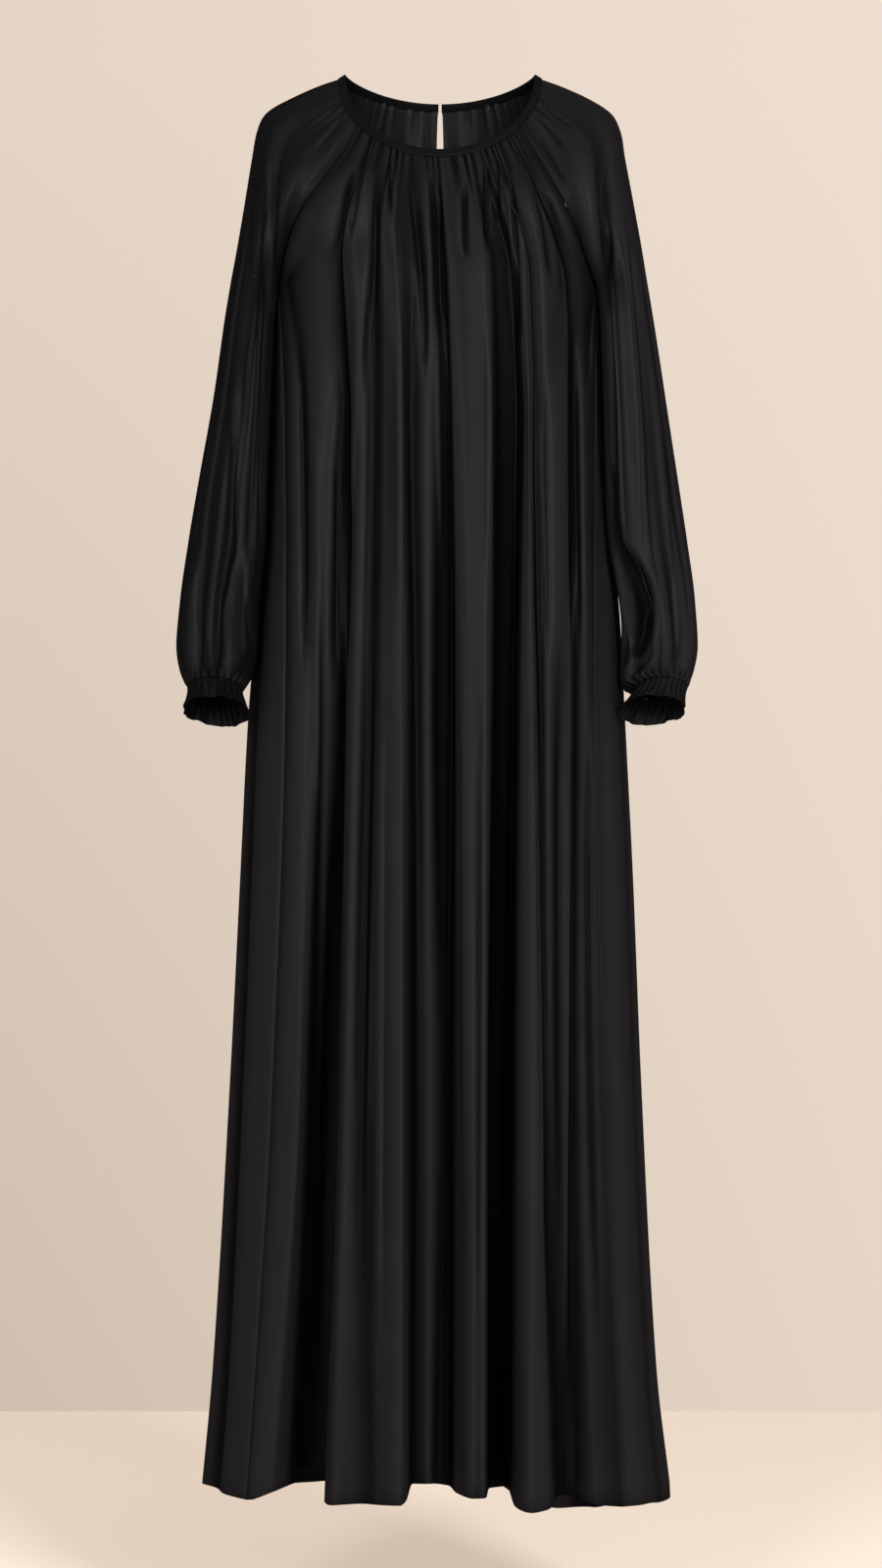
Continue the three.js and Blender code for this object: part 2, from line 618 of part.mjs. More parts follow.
// A sleeve's rows of points, from the neck to the cuff. The first and last columns meet at the inner seam.
function sleeveRows(side) {
  const mirror = (p) => new THREE.Vector3(p.x * side, p.y, p.z);
  const name = side < 0 ? "left" : "right";
  const half = sleeveColumns / 2;
  const [front, back] = [frontSeams[name].map(mirror), backSeams[name].map(mirror)];
  const turn = (column) => (column * 360) / sleeveColumns;
  const neckAngle = (column) =>
    column <= half
      ? lerp(frontNeckAngle, 90, column / half)
      : lerp(90, 180 - backNeckAngle, ((column - half) / half) ** 0.7);
  const ringColumns = Array.from({ length: sleeveColumns }, (_, column) => column);
  const ring = (share) => ringColumns.map((column) => sleeveRingPoint(side, share, turn(column)));
  const firstRing = [...ring(0), ring(0)[0]];
  const shoulder = alongCurve(
    [
      neckSeam(90),
      ...shoulderLine.map((at) => new THREE.Vector3(at[name + "X"], at.y, at.z)),
      firstRing[half],
    ],
    raglanStops,
  );
  const upper = raglanStops.slice(0, -1).map((share, row) =>
    firstRing.map((bottom, column) => {
      const forward = column <= half;
      const u = forward ? column / half : (column - half) / half;
      const [left, right] = forward ? [front, shoulder] : [shoulder, back];
      const corners = {
        topLeft: left[0],
        topRight: right[0],
        bottomLeft: left.at(-1),
        bottomRight: right.at(-1),
      };
      return patch(neckSeam(neckAngle(column)), bottom, left[row], right[row], corners, u, share, 1);
    }),
  );
  const gathered = (column) => {
    const depth = gatherDepth * 0.55 * smoothstep(Math.abs(column - half), 1, 6);
    return gatherWave((column / sleeveColumns) * sleeveNeckGathers + 0.5) * depth;
  };
  const drawn = (column) => -Math.cos((column / sleeveColumns) * cuffGathers * 2 * Math.PI) * 1.8;
  const moved = pushOut([...upper, ...sleeveStops.map(ring)], (row, column) => {
    const onSeam = column % sleeveColumns === 0;
    if (row < upper.length) {
      const share = raglanStops[row];
      const small = gathered(column) * gatherStrength(share);
      return onSeam ? 0 : sleeveGroove(side, share - 1, turn(column)) + small;
    }
    const share = sleeveStops[row - upper.length];
    if (share === 0 && onSeam) return 0;
    const small = share < 1 ? drawn(column) * cuffGatherStrength(share) : 0;
    return sleeveGroove(side, share, turn(column)) + small;
  });
  return moved.map((row) => row.map(mirror));
}

// A cuff's rows, from the sleeve's end to the ruffled edge, turned towards the cuff's own direction
function cuffRows(side) {
  const axis = cuffAxes[side < 0 ? "left" : "right"];
  const start = Array.from({ length: cuffColumns }, (_, column) =>
    sleeveRingPoint(side, 1, (column * 360) / cuffColumns),
  );
  const middle = start.reduce((sum, p) => sum.add(p), new THREE.Vector3()).divideScalar(cuffColumns);
  return cuff.stops.map((share) =>
    start.map((p, column) => {
      const out = p.clone().sub(middle);
      out.addScaledVector(axis, -out.dot(axis)).normalize();
      const wave = Math.cos((column / cuffColumns) * cuffGathers * 2 * Math.PI);
      const flare = cuff.flare * share * share + cuff.ruffle * wave * share;
      const down = seamGap + cuff.length * share;
      const moved = p.clone().addScaledVector(axis, down).addScaledVector(out, flare);
      return new THREE.Vector3(moved.x * side, moved.y, moved.z);
    }),
  );
}

// Joins rows of points into one surface of quads. A row shorter by one closes on itself. Holes are left out.
function surface(rows, isHole = () => false) {
  const points = [];
  const index = rows.map((row) => row.map((p) => points.push(p) - 1));
  const most = Math.max(...index.map((row) => row.length));
  index.forEach((row) => row.length < most && row.push(row[0]));
  const quads = [];
  for (let r = 0; r + 1 < index.length; r += 1)
    for (let c = 0; c + 1 < index[r].length; c += 1)
      if (!isHole(r, c)) quads.push([index[r][c], index[r + 1][c], index[r + 1][c + 1], index[r][c + 1]]);
  return { points, quads };
}

const place = (p) => [p.x, p.y, p.z].map((value) => Math.round(value * 50)).join(",");

// Adds each quad's normal to the lists kept at its corners' places, so that pieces share them along seams
function addNormals(lists, { points, quads }) {
  for (const quad of quads) {
    const [a, b, c, d] = quad.map((i) => points[i]);
    const normal = c.clone().sub(a).cross(d.clone().sub(b)).normalize();
    for (const i of new Set(quad)) {
      const key = place(points[i]);
      lists.set(key, [...(lists.get(key) ?? []), normal]);
    }
  }
}

// The way out at a point, long enough that walls between offset points keep their thickness round a bend
function mitred(normals) {
  const mean = normals.reduce((sum, normal) => sum.add(normal), new THREE.Vector3()).normalize();
  return mean.divideScalar(Math.max(0.5, Math.min(...normals.map((normal) => normal.dot(mean)))));
}

// The edges that only one quad uses, in that quad's own direction
function openEdges(quads) {
  const edges = quads.flatMap((quad) => quad.map((from, i) => [from, quad[(i + 1) % quad.length]]));
  const seen = new Set(edges.map(([from, to]) => `${from} ${to}`));
  return edges.filter(([from, to]) => from !== to && !seen.has(`${to} ${from}`));
}

// A closed wall of cloth: the surface, a second one inside it, and the edges between the two.
// Open edges are drawn back by half a seam's gap, so that two pieces stay that gap apart.
function clothWall({ points, quads }, normals) {
  const edges = openEdges(quads);
  const outwardAt = points.map((p) => mitred(normals.get(place(p))));
  const inwards = new Map();
  for (const [a, b] of edges)
    for (const i of [a, b]) {
      const inward = outwardAt[i].clone().cross(points[b].clone().sub(points[a])).normalize();
      inwards.set(i, [...(inwards.get(i) ?? []), inward]);
    }
  const outer = points.map((p, i) => {
    if (!inwards.has(i)) return p.clone();
    const [one, two] = inwards.get(i);
    const inward = one.clone().add(two).divideScalar(1 + Math.max(0, one.dot(two)));
    return p.clone().addScaledVector(inward, seamGap * 0.6);
  });
  const inner = outer.map((p, i) => p.clone().addScaledVector(outwardAt[i], -clothThickness));
  const all = [...outer, ...inner];
  const triangles = [];
  const add = (a, b, c) => {
    if (a !== b && b !== c && a !== c) triangles.push(a, b, c);
  };
  for (const [a, b, c, d] of quads) {
    add(a, b, c);
    add(a, c, d);
    add(a + points.length, c + points.length, b + points.length);
    add(a + points.length, d + points.length, c + points.length);
  }
  for (const [a, b] of edges) {
    add(b, a, a + points.length);
    add(b, a + points.length, b + points.length);
  }
  const geometry = new THREE.BufferGeometry();
  geometry.setAttribute("position", new THREE.Float32BufferAttribute(all.flatMap((p) => p.toArray()), 3));
  geometry.setIndex(triangles);
  geometry.computeVertexNormals();
  return geometry;
}

// The binding: a rounded strip swept round the neck from one side of the slit to the other
function bindingGeometry() {
  const edge = degrees(Math.asin((slit.halfWidth - 0.4) / neck.halfWidth));
  const section = [
    [-0.5, 0.5],
    [0.5, 0.5],
    [0.5, -0.36],
    [0.2, -0.5],
    [-0.2, -0.5],
    [-0.5, -0.36],
  ];
  const positions = [];
  for (let i = 0; i <= binding.steps; i += 1) {
    const angle = lerp(-180 + edge, 180 - edge, i / binding.steps);
    const down = bindingDown(angle);
    const along = neckTop(angle + 0.5).sub(neckTop(angle - 0.5)).normalize();
    const out = down.clone().cross(along).normalize();
    const middle = neckTop(angle).addScaledVector(down, (binding.height - seamGap) / 2);
    for (const [across, up] of section)
      positions.push(
        ...middle
          .clone()
          .addScaledVector(out, across * binding.thickness)
          .addScaledVector(down, up * (binding.height - seamGap))
          .toArray(),
      );
  }
  const sides = section.length;
  const triangles = [];
  for (let i = 0; i < binding.steps; i += 1)
    for (let j = 0; j < sides; j += 1) {
      const [a, b] = [i * sides + j, i * sides + ((j + 1) % sides)];
      triangles.push(a, b + sides, b, a, a + sides, b + sides);
    }
  for (let j = 1; j + 1 < sides; j += 1) {
    const last = binding.steps * sides;
    triangles.push(0, j, j + 1, last, last + j + 1, last + j);
  }
  const geometry = new THREE.BufferGeometry();
  geometry.setAttribute("position", new THREE.Float32BufferAttribute(positions, 3));
  geometry.setIndex(triangles);
  geometry.computeVertexNormals();
  return geometry;
}

const blackCrepe = { color: 0x1b1a1b, roughness: 0.82, metalness: 0 };
const foldedCrepe = { color: 0x161617, roughness: 0.86, metalness: 0 };

// The slit runs between the middle two columns of the back, down to the row nearest its length
const slitColumn = (backColumns - 1) / 2;
const isSlit = (row, column) => column === slitColumn && row < slit.rows;

const panels = {
  front: surface(frontRows()),
  back: surface(backRows(), isSlit),
  sleeve_left: surface(sleeveRows(1)),
  sleeve_right: surface(sleeveRows(-1)),
  cuff_left: surface(cuffRows(1)),
  cuff_right: surface(cuffRows(-1)),
};
for (const name of ["sleeve_right", "cuff_right"]) panels[name].quads.forEach((quad) => quad.reverse());

const sharedNormals = new Map();
Object.values(panels).forEach((panel) => addNormals(sharedNormals, panel));

const robe = new THREE.Group();
for (const [name, panel] of Object.entries(panels)) {
  const mesh = new THREE.Mesh(clothWall(panel, sharedNormals), new THREE.MeshStandardMaterial(blackCrepe));
  mesh.name = name;
  robe.add(mesh);
}
const neckBinding = new THREE.Mesh(bindingGeometry(), new THREE.MeshStandardMaterial(foldedCrepe));
neckBinding.name = "neck_binding";
robe.add(neckBinding);

export default robe;
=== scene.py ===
import math

import bmesh
import bpy
import numpy as np
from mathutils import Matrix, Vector


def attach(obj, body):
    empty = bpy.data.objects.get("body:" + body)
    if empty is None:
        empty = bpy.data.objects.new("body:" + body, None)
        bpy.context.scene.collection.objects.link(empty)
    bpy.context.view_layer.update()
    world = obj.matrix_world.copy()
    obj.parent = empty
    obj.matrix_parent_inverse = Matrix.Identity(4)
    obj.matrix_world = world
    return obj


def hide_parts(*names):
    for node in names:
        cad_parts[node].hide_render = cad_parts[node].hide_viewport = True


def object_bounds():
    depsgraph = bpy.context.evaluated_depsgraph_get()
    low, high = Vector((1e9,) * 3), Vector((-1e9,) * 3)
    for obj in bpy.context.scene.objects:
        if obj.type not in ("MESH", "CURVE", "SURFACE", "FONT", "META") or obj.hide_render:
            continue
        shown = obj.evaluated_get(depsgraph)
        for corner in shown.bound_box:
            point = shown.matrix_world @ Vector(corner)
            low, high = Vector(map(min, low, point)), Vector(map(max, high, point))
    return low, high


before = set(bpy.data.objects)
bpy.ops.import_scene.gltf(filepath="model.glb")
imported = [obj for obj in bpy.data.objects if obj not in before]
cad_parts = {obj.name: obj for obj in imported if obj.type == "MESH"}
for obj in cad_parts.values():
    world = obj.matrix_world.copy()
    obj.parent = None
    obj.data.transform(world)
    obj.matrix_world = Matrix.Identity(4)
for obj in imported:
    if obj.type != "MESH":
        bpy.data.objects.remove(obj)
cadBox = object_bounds()
print("frame loaded:", sorted(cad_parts))

robe = {
    "underarmZ": -218.0,
    "neckHalfWidth": 96,
    "neckFrontDepth": 85,
    "neckBackDepth": 68,
    "neckFrontDrop": 90,
    "neckBackDrop": 17,
    "clothThickness": 0.7,
    "easeReach": 130,  # how far above and below the underarm the slope is eased
    "easeTimes": 160,
    "easeSeams": [0.02, 0.12],  # beside the seams nothing is eased, so that neighbours still meet
}
viewerSide = {-1: "left", 1: "right"}  # the tables name the sides as the viewer sees them


def table(header, rows):
    # named columns of numbers
    return {name: np.array(column, float) for name, column in zip(header.split(), zip(*rows))}


def curveAt(xs, ys, x):
    # a smooth curve through points that never swings past them; ys may hold one curve for each x
    x = np.clip(np.asarray(x, float), xs[0], xs[-1])
    ys = np.broadcast_to(np.asarray(ys, float), x.shape + (len(xs),))
    width = np.diff(xs)
    rise = np.diff(ys, axis=-1) / width
    before, after = rise[..., :-1], rise[..., 1:]
    total = np.where(before * after > 0, before + after, 1)
    inner = np.where(before * after > 0, 2 * before * after / total, 0)
    slope = np.concatenate([rise[..., :1], inner, rise[..., -1:]], axis=-1)
    i = np.clip(np.searchsorted(xs, x, side="right") - 1, 0, len(xs) - 2)

    def pick(values, index):
        return np.take_along_axis(values, index[..., None], axis=-1)[..., 0]

    w = width[i]
    t = (x - np.asarray(xs)[i]) / w
    return (
        (2 * t**3 - 3 * t**2 + 1) * pick(ys, i)
        + (t**3 - 2 * t**2 + t) * w * pick(slope, i)
        + (3 * t**2 - 2 * t**3) * pick(ys, i + 1)
        + (t**3 - t**2) * w * pick(slope, i + 1)
    )


def columnCurve(rows, along, name, x):
    # one column of a table as a curve along another, whichever way that one runs
    order = np.argsort(rows[along])
    return curveAt(rows[along][order], rows[name][order], x)


def smoothStep(x, low, high):
    t = np.clip((np.asarray(x, float) - low) / (high - low), 0, 1)
    return t * t * (3 - 2 * t)


def unit(v):
    return v / np.maximum(np.linalg.norm(v, axis=-1, keepdims=True), 1e-9)


def points(x, y, z):
    return np.stack(np.broadcast_arrays(x, y, z), axis=-1).astype(float)


def sineCosine(degrees):
    return np.sin(np.radians(degrees)), np.cos(np.radians(degrees))


# The body's sections: half widths to the viewer's left and right, and depths forwards and backwards
bodySections = table("z left right front back", [
    [-218, 164, 160, 116, 96],
    [-232, 169, 164, 117, 98],
    [-250, 172, 167, 119, 100],
    [-300, 176, 171, 122, 105],
    [-345, 177, 172, 124, 109],
    [-460, 180, 176, 130, 118],
    [-560, 188, 184, 136, 126],
    [-660, 196, 189, 141, 132],
    [-820, 204, 197, 150, 140],
    [-1020, 214, 205, 162, 150],
    [-1320, 232, 221, 180, 164],
    [-1440, 243, 235, 188, 170],
])


def bodySize(name, z):
    return columnCurve(bodySections, "z", name, z)


def halfWidth(side, z):
    # the body's half width, to the viewer's left where side is below 0 and otherwise to the right
    return np.where(side < 0, bodySize("left", z), bodySize("right", z))


def bodyPoint(angle, z, out):
    # a point of the body's plain form, moved out; angles run from the front middle
    s, c = sineCosine(angle)
    width = halfWidth(s, z)
    depth = np.where(c > 0, bodySize("front", z), bodySize("back", z))
    reach = np.hypot(s**3, c)  # the cube keeps the way out nearly straight ahead until close to the sides
    return points(width * s + s**3 / reach * out, -depth * c - c / reach * out, z)


neckBinding = {
    "height": 9,
    "thickness": 3.4,
    "steps": 260,
    "cornerLean": 0.85,
    "frontLean": 0.45,
    "backLean": 0.35,
    "tuck": 2.6,  # how far the cloth's edge goes up inside the strip
    "pucker": 0.16,  # how far the strip ripples where the gathers push under it
    "ripples": 47,  # for each radian round the neck
    "rippleDrift": 1.3,
    "sides": 16,
    "roundness": 0.42,
    "endGap": 1.5,  # from the back middle to each end of the strip
}


def neckTop(angle):
    # the neck's upper edge: 0 is the front middle and 90 a corner
    s, c = sineCosine(angle)
    back = np.maximum(-c, 0)
    y = np.where(c > 0, -robe["neckFrontDepth"] * c, robe["neckBackDepth"] * back**1.4)
    z = np.where(c > 0, -robe["neckFrontDrop"] * c, -robe["neckBackDrop"] * back**1.6)
    return points(robe["neckHalfWidth"] * s, y, z)


def bindingDown(angle):
    s, c = sineCosine(angle)
    lean = np.where(c > 0, neckBinding["frontLean"], neckBinding["backLean"])
    x, y = neckBinding["cornerLean"] * s, -lean * c
    return unit(points(x, y, -np.sqrt(np.maximum(0.1, 1 - x * x - y * y))))


def bindingWays(angle):
    # the strip's way down and its way out
    down = bindingDown(angle)
    return down, unit(np.cross(down, unit(neckTop(angle + 0.5) - neckTop(angle - 0.5))))


def neckDegrees(distance):
    # the neck angle that a distance from the back middle takes up
    return math.degrees(math.asin(distance / robe["neckHalfWidth"]))


def neckSeam(angle):
    # where the cloth's edge runs, up inside the strip
    return neckTop(angle) + bindingDown(angle) * (neckBinding["height"] - neckBinding["tuck"])


# The levels that the fold tables give sizes at
foldLevels = [-218, -343, -620, -1020, -1430]
levelNames = ["underarm", "waist", "hip", "knee", "hem"]
standOuts = "underarmOut waistOut hipOut kneeOut hemOut hemZ"

# The front's crest and valley lines: x at the five levels, how far out each stands there, and its hem
frontFolds = table("column underarmX waistX hipX kneeX hemX " + standOuts, [
    [0, -163, -159, -157, -169, -193, 0, -3, -4, -4, -2, -1432],
    [2, -150, -148, -144, -154, -185, 0, 0, 0, 0, 0, -1430],
    [3, -144, -141, -136, -140, -170, 0, -1, -2, -3, -8, -1422],
    [5, -127, -123, -122, -136, -163, -1, -3, -10, -32, -58, -1419],
    [7, -100, -94, -97, -109, -126, -5, -14, -30, -58, -80, -1419],
    [9, -94, -86, -93, -102, -117, -1, -3, -8, -16, -26, -1429],
    [11, -84, -78, -84, -93, -104, 0, 0, 0, -1, -3, -1427],
    [14, -64, -65, -69, -77, -74, -6, -7, -7, -6, -4, -1424],
    [17, -52, -53, -55, -58, -58, -1, -1, -1, -1, -1, -1424],
    [20, -42, -42, -39, -37, -39, 0, 0, 0, 0, 0, -1424],
    [21, -39, -38, -35, -34, -33, -1, -1, -3, -6, -10, -1421],
    [24, -23, -28, -24, -22, -27, -7, -10, -22, -34, -52, -1412],
    [27, -7, -12, -12, -10, -13, -3, -6, -18, -34, -52, -1412],
    [29, -1, 1, -2, 3, -3, -8, -14, -30, -46, -58, -1413],
    [31, 5, 9, 12, 8, 8, -9, -18, -36, -50, -60, -1415],
    [33, 11, 13, 17, 18, 16, -2, -5, -12, -20, -26, -1416],
    [36, 28, 30, 33, 34, 32, 0, 0, 0, 0, 0, -1417],
    [39, 47, 47, 45, 44, 42, 0, 0, 0, 0, 0, -1417],
    [40, 51, 51, 49, 46, 45, -1, -2, -4, -6, -9, -1418],
    [42, 60, 60, 57, 51, 50, -7, -16, -32, -54, -74, -1421],
    [45, 76, 78, 76, 72, 69, -10, -20, -42, -64, -84, -1422],
    [47, 81, 85, 81, 77, 74, -1, -4, -8, -14, -22, -1430],
    [50, 88, 89, 91, 93, 90, 0, 0, 1, 3, 6, -1432],
    [52, 93, 93, 94, 98, 106, -1, -1, -1, -1, -1, -1431],
    [54, 97, 96, 100, 104, 116, -6, -10, -14, -14, -26, -1430],
    [57, 109, 109, 111, 114, 125, -2, -3, -6, -12, -48, -1429],
    [60, 130, 129, 131, 130, 137, -1, -2, -5, -12, -54, -1429],
    [63, 140, 138, 141, 140, 148, -6, -9, -18, -26, -48, -1431],
    [67, 149, 147, 148, 151, 166, -2, -4, -8, -14, -24, -1437],
    [72, 159, 156, 156, 165, 186, 0, 0, -2, -4, -10, -1440],
])
# The back's lines, from one side seam round to the other, by the angle at three levels: 90 is the wearer's
# left side and 180 the back middle
backFolds = table("column underarmAngle hipAngle hemAngle " + standOuts, [
    [0, 84, 57, 52, 0, 0, -2, -4, -10, -1440],
    [2, 90, 66, 61, 0, 1, 2, 2, 0, -1440],
    [4, 97, 78, 74, 0, 0, -1, -2, -4, -1446],
    [6, 106, 90, 90, 0, 0, 0, 0, 0, -1450],
    [9, 116, 102, 100, -4, -12, -22, -34, -46, -1452],
    [11, 124, 113, 112, 0, 0, 0, 0, 0, -1462],
    [14, 133, 124, 126, -6, -10, -14, -14, -12, -1474],
    [16, 141, 133, 137, 0, 0, 0, 0, 0, -1485],
    [19, 150, 141, 146, -7, -18, -32, -46, -58, -1478],
    [21, 158, 151, 156, 0, 0, 0, 0, 0, -1484],
    [24, 168, 163, 167, -9, -10, -12, -10, -8, -1462],
    [26, 175, 173, 175, 0, 0, 0, 0, 0, -1458],
    [28, 178.4, 178.9, 179.2, -3, -10, -24, -38, -52, -1455],
    [29, 181.6, 181.1, 180.8, -3, -11, -26, -40, -54, -1455],
    [31, 186, 190, 189, 0, 0, 0, 0, 0, -1458],
    [33, 192, 199, 197, -9, -9, -9, -8, -6, -1460],
    [36, 202, 210, 208, 0, 0, 0, 0, 0, -1462],
    [38, 210, 218, 216, -7, -18, -32, -46, -58, -1450],
    [41, 219, 228, 227, 0, 0, 0, 0, 0, -1460],
    [43, 228, 240, 240, -6, -8, -12, -12, -10, -1457],
    [46, 236, 250, 250, 0, 0, 0, 0, 0, -1450],
    [48, 244, 260, 261, -4, -12, -22, -33, -42, -1444],
    [51, 254, 271, 271, 0, 0, 0, 0, 0, -1436],
    [54, 263, 284, 287, 0, -2, -4, -6, -8, -1432],
    [56, 270, 295, 298, 0, -1, -1, -1, -2, -1432],
    [57, 276, 305, 308, 0, -3, -4, -4, -2, -1432],
])
# Guide points of the raglan seams and of the shoulder line
frontRaglan = table("leftX rightX y z", [
    [95, 94, -62, -84],
    [108, 105, -72, -105],
    [125, 117, -77, -127],
    [143, 131, -73, -155],
    [157, 146, -52, -193],
])
backRaglan = table("leftX rightX y z", [
    [98, 98, 56, -50],
    [119, 117, 63, -90],
    [137, 134, 54, -134],
    [153, 149, 33, -182],
])
shoulderLine = table("leftX rightX y z", [
    [124, 123, 0, -11],
    [151, 150, 0, -23],
    [173, 170, 0, -35],
    [181, 178, 0, -43],
    [187.5, 185, -1, -60],
    [191.5, 188.5, -2, -83],
    [198, 196, -3, -123],
    [206, 205, -4, -173],
])


def sizeAtHeight(folds, quantity, z):
    # every fold's size at each height: the last axis runs over the folds
    levels = np.stack([folds[name + quantity] for name in levelNames], axis=-1)
    z = np.asarray(z, float)[..., None]
    everyFold = np.broadcast_to(-z, z.shape[:-1] + levels.shape[:1])
    return curveAt([-level for level in foldLevels], levels, everyFold)


def frontAngles(z):
    x = sizeAtHeight(frontFolds, "X", z)
    z = np.broadcast_to(np.asarray(z, float)[..., None], x.shape)
    return np.degrees(np.arcsin(np.clip(x / halfWidth(x, z), -1, 1)))


def frontSection(column, z):
    # the angle and the stand-out of the front at a column and a height
    z = np.maximum(z, foldLevels[-1])
    outs = sizeAtHeight(frontFolds, "Out", z)
    return curveAt(frontFolds["column"], frontAngles(z), column), curveAt(frontFolds["column"], outs, column)


def backSection(column, z):
    # the same for the back, whose end columns are the front's
    z = np.maximum(z, foldLevels[-1])
    share = (robe["underarmZ"] - z) / (robe["underarmZ"] - foldLevels[-1])
    hip = (robe["underarmZ"] - foldLevels[2]) / (robe["underarmZ"] - foldLevels[-1])
    known = np.stack([backFolds[name + "Angle"] for name in ("underarm", "hip", "hem")], axis=-1)
    angles = curveAt([0, hip, 1], known, np.broadcast_to(share[..., None], share.shape + known.shape[:1]))
    outs = sizeAtHeight(backFolds, "Out", z)
    seams, seamOuts = frontAngles(z), sizeAtHeight(frontFolds, "Out", z)
    angles = np.concatenate([seams[..., -1:], angles[..., 1:-1], 360 + seams[..., :1]], axis=-1)
    outs = np.concatenate([seamOuts[..., -1:], outs[..., 1:-1], seamOuts[..., :1]], axis=-1)
    return curveAt(backFolds["column"], angles, column), curveAt(backFolds["column"], outs, column)


def alongCurve(guides, shares):
    # points spread evenly by length along a smooth curve through guide points
    p = np.array(guides, float)
    p = np.vstack([2 * p[0] - p[1], p, 2 * p[-1] - p[-2]])
    t = np.linspace(0, 1, 60, endpoint=False)[:, None]
    pieces = []
    for a, b, c, d in zip(p, p[1:], p[2:], p[3:]):
        gapBefore, gap, gapAfter = (max(1e-4, np.linalg.norm(v)) ** 0.5 for v in (b - a, c - b, d - c))
        m1 = ((b - a) / gapBefore - (c - a) / (gapBefore + gap) + (c - b) / gap) * gap
        m2 = ((c - b) / gap - (d - b) / (gap + gapAfter) + (d - c) / gapAfter) * gap
        pieces.append(
            b + m1 * t + (3 * (c - b) - 2 * m1 - m2) * t**2 + (2 * (b - c) + m1 + m2) * t**3
        )
    line = np.vstack([*pieces, p[-2:-1]])
    length = np.concatenate([[0], np.cumsum(np.linalg.norm(np.diff(line, axis=0), axis=1))])
    at = np.asarray(shares) * length[-1]
    return np.stack([np.interp(at, length, line[:, k]) for k in range(3)], axis=-1)


def patch(top, bottom, left, right, u, v, weigh):
    # the surface inside four edge curves; weigh says how much of a side curve's bow is felt away from it
    leftBow = left[:-1, None] - (left[0] * (1 - v) + left[-1] * v)
    rightBow = right[:-1, None] - (right[0] * (1 - v) + right[-1] * v)
    return top * (1 - v) + bottom * v + leftBow * weigh(u) + rightBow * weigh(1 - u)


panel = {
    "frontNeckAngle": 53,
    "backNeckAngle": 55,
    "frontColumns": 72,
    "backColumns": 57,
    "frontGathers": 24,
    "backGathers": 18,
    "chestSwell": 3,
    "gatherDepth": 3,
    "gatherFade": 0.42,
    "leastNeckPitch": {"front": 1.05, "back": 1.15},
    "creaseScale": 1.3,
    "columnSteps": 5,  # fine columns for each column of the tables
    "raglanRows": 56,
    "rowCrowding": 1.25,  # above 1 puts more of these rows near the neck
    "skirtRows": 78,
    "seamFade": 12,  # fine columns beside a seam over which creases fade in
    "bowReach": 0.45,  # how far a seam's bow is felt across a panel
    "foldsBegin": 0.55,  # share of the raglan length by which the skirt's folds are full
    "edgeFade": 12,  # the folds die away over this part of a panel's width, 1 / 12, at its seams
    "fullPitch": 5,  # mm between columns at the neck above which the gathers have their whole depth
    "outward": (0.75, -0.9, 0.3),  # the way out of the chest
}

raglanShares = np.linspace(0, 1, panel["raglanRows"] + 1) ** panel["rowCrowding"]
skirtShares = np.linspace(0, 1, panel["skirtRows"] + 1)[1:]


def gatherStrength(share):
    # how deep the small neck gathers are at a share of the raglan length
    tucked = 0.3 + 0.7 * smoothStep(share, 0, 0.03)  # held flat where it is sewn into the strip
    return np.maximum(0, 1 - share / panel["gatherFade"]) ** 1.5 * tucked


def gatherWave(turns):
    # small gathers side by side; the sines' numbers only keep any two from being as wide or as deep
    shifted = turns + 0.22 * np.sin(turns * 2.1 + 0.6) * np.sin(turns * 0.37 + 1)
    phase = np.abs(shifted - np.round(shifted)) * 2
    depth = 0.4 + 0.85 * np.cos(np.round(shifted) * 1.9 + 2 * np.sin(np.round(shifted) * 0.7)) ** 2
    return -(0.5 + 0.5 * np.cos(np.pi * np.minimum(1, phase * 1.35))) * depth


def chestOutward(angle):
    s, c = sineCosine(angle)
    x, y, z = panel["outward"]
    return unit(points(x * s, y * c, z))


def raglanSeam(guides, neckAngle, side):
    # a seam from the neck to the underarm, on the viewer's left for -1 and right for 1
    name = viewerSide[side] + "X"
    middle = [(side * x, y, z) for x, y, z in zip(guides[name], guides["y"], guides["z"])]
    under = bodyPoint(84 if side > 0 else 276, robe["underarmZ"], 0)
    return alongCurve([neckSeam(np.array(float(neckAngle))), *middle, under], raglanShares)


frontSeams = {side: raglanSeam(frontRaglan, side * panel["frontNeckAngle"], side) for side in (-1, 1)}
backSeams = {side: raglanSeam(backRaglan, 180 - side * panel["backNeckAngle"], side) for side in (-1, 1)}


def spreadAngles(angles, least):
    # widens the steps between rising angles to a least size and narrows the others, so that the ends stay
    steps = np.diff(angles)
    spare = np.maximum(0, steps - least)
    steps = least + spare * (angles[-1] - angles[0] - least * len(steps)) / spare.sum()
    return np.concatenate([[angles[0]], angles[0] + np.cumsum(steps)])


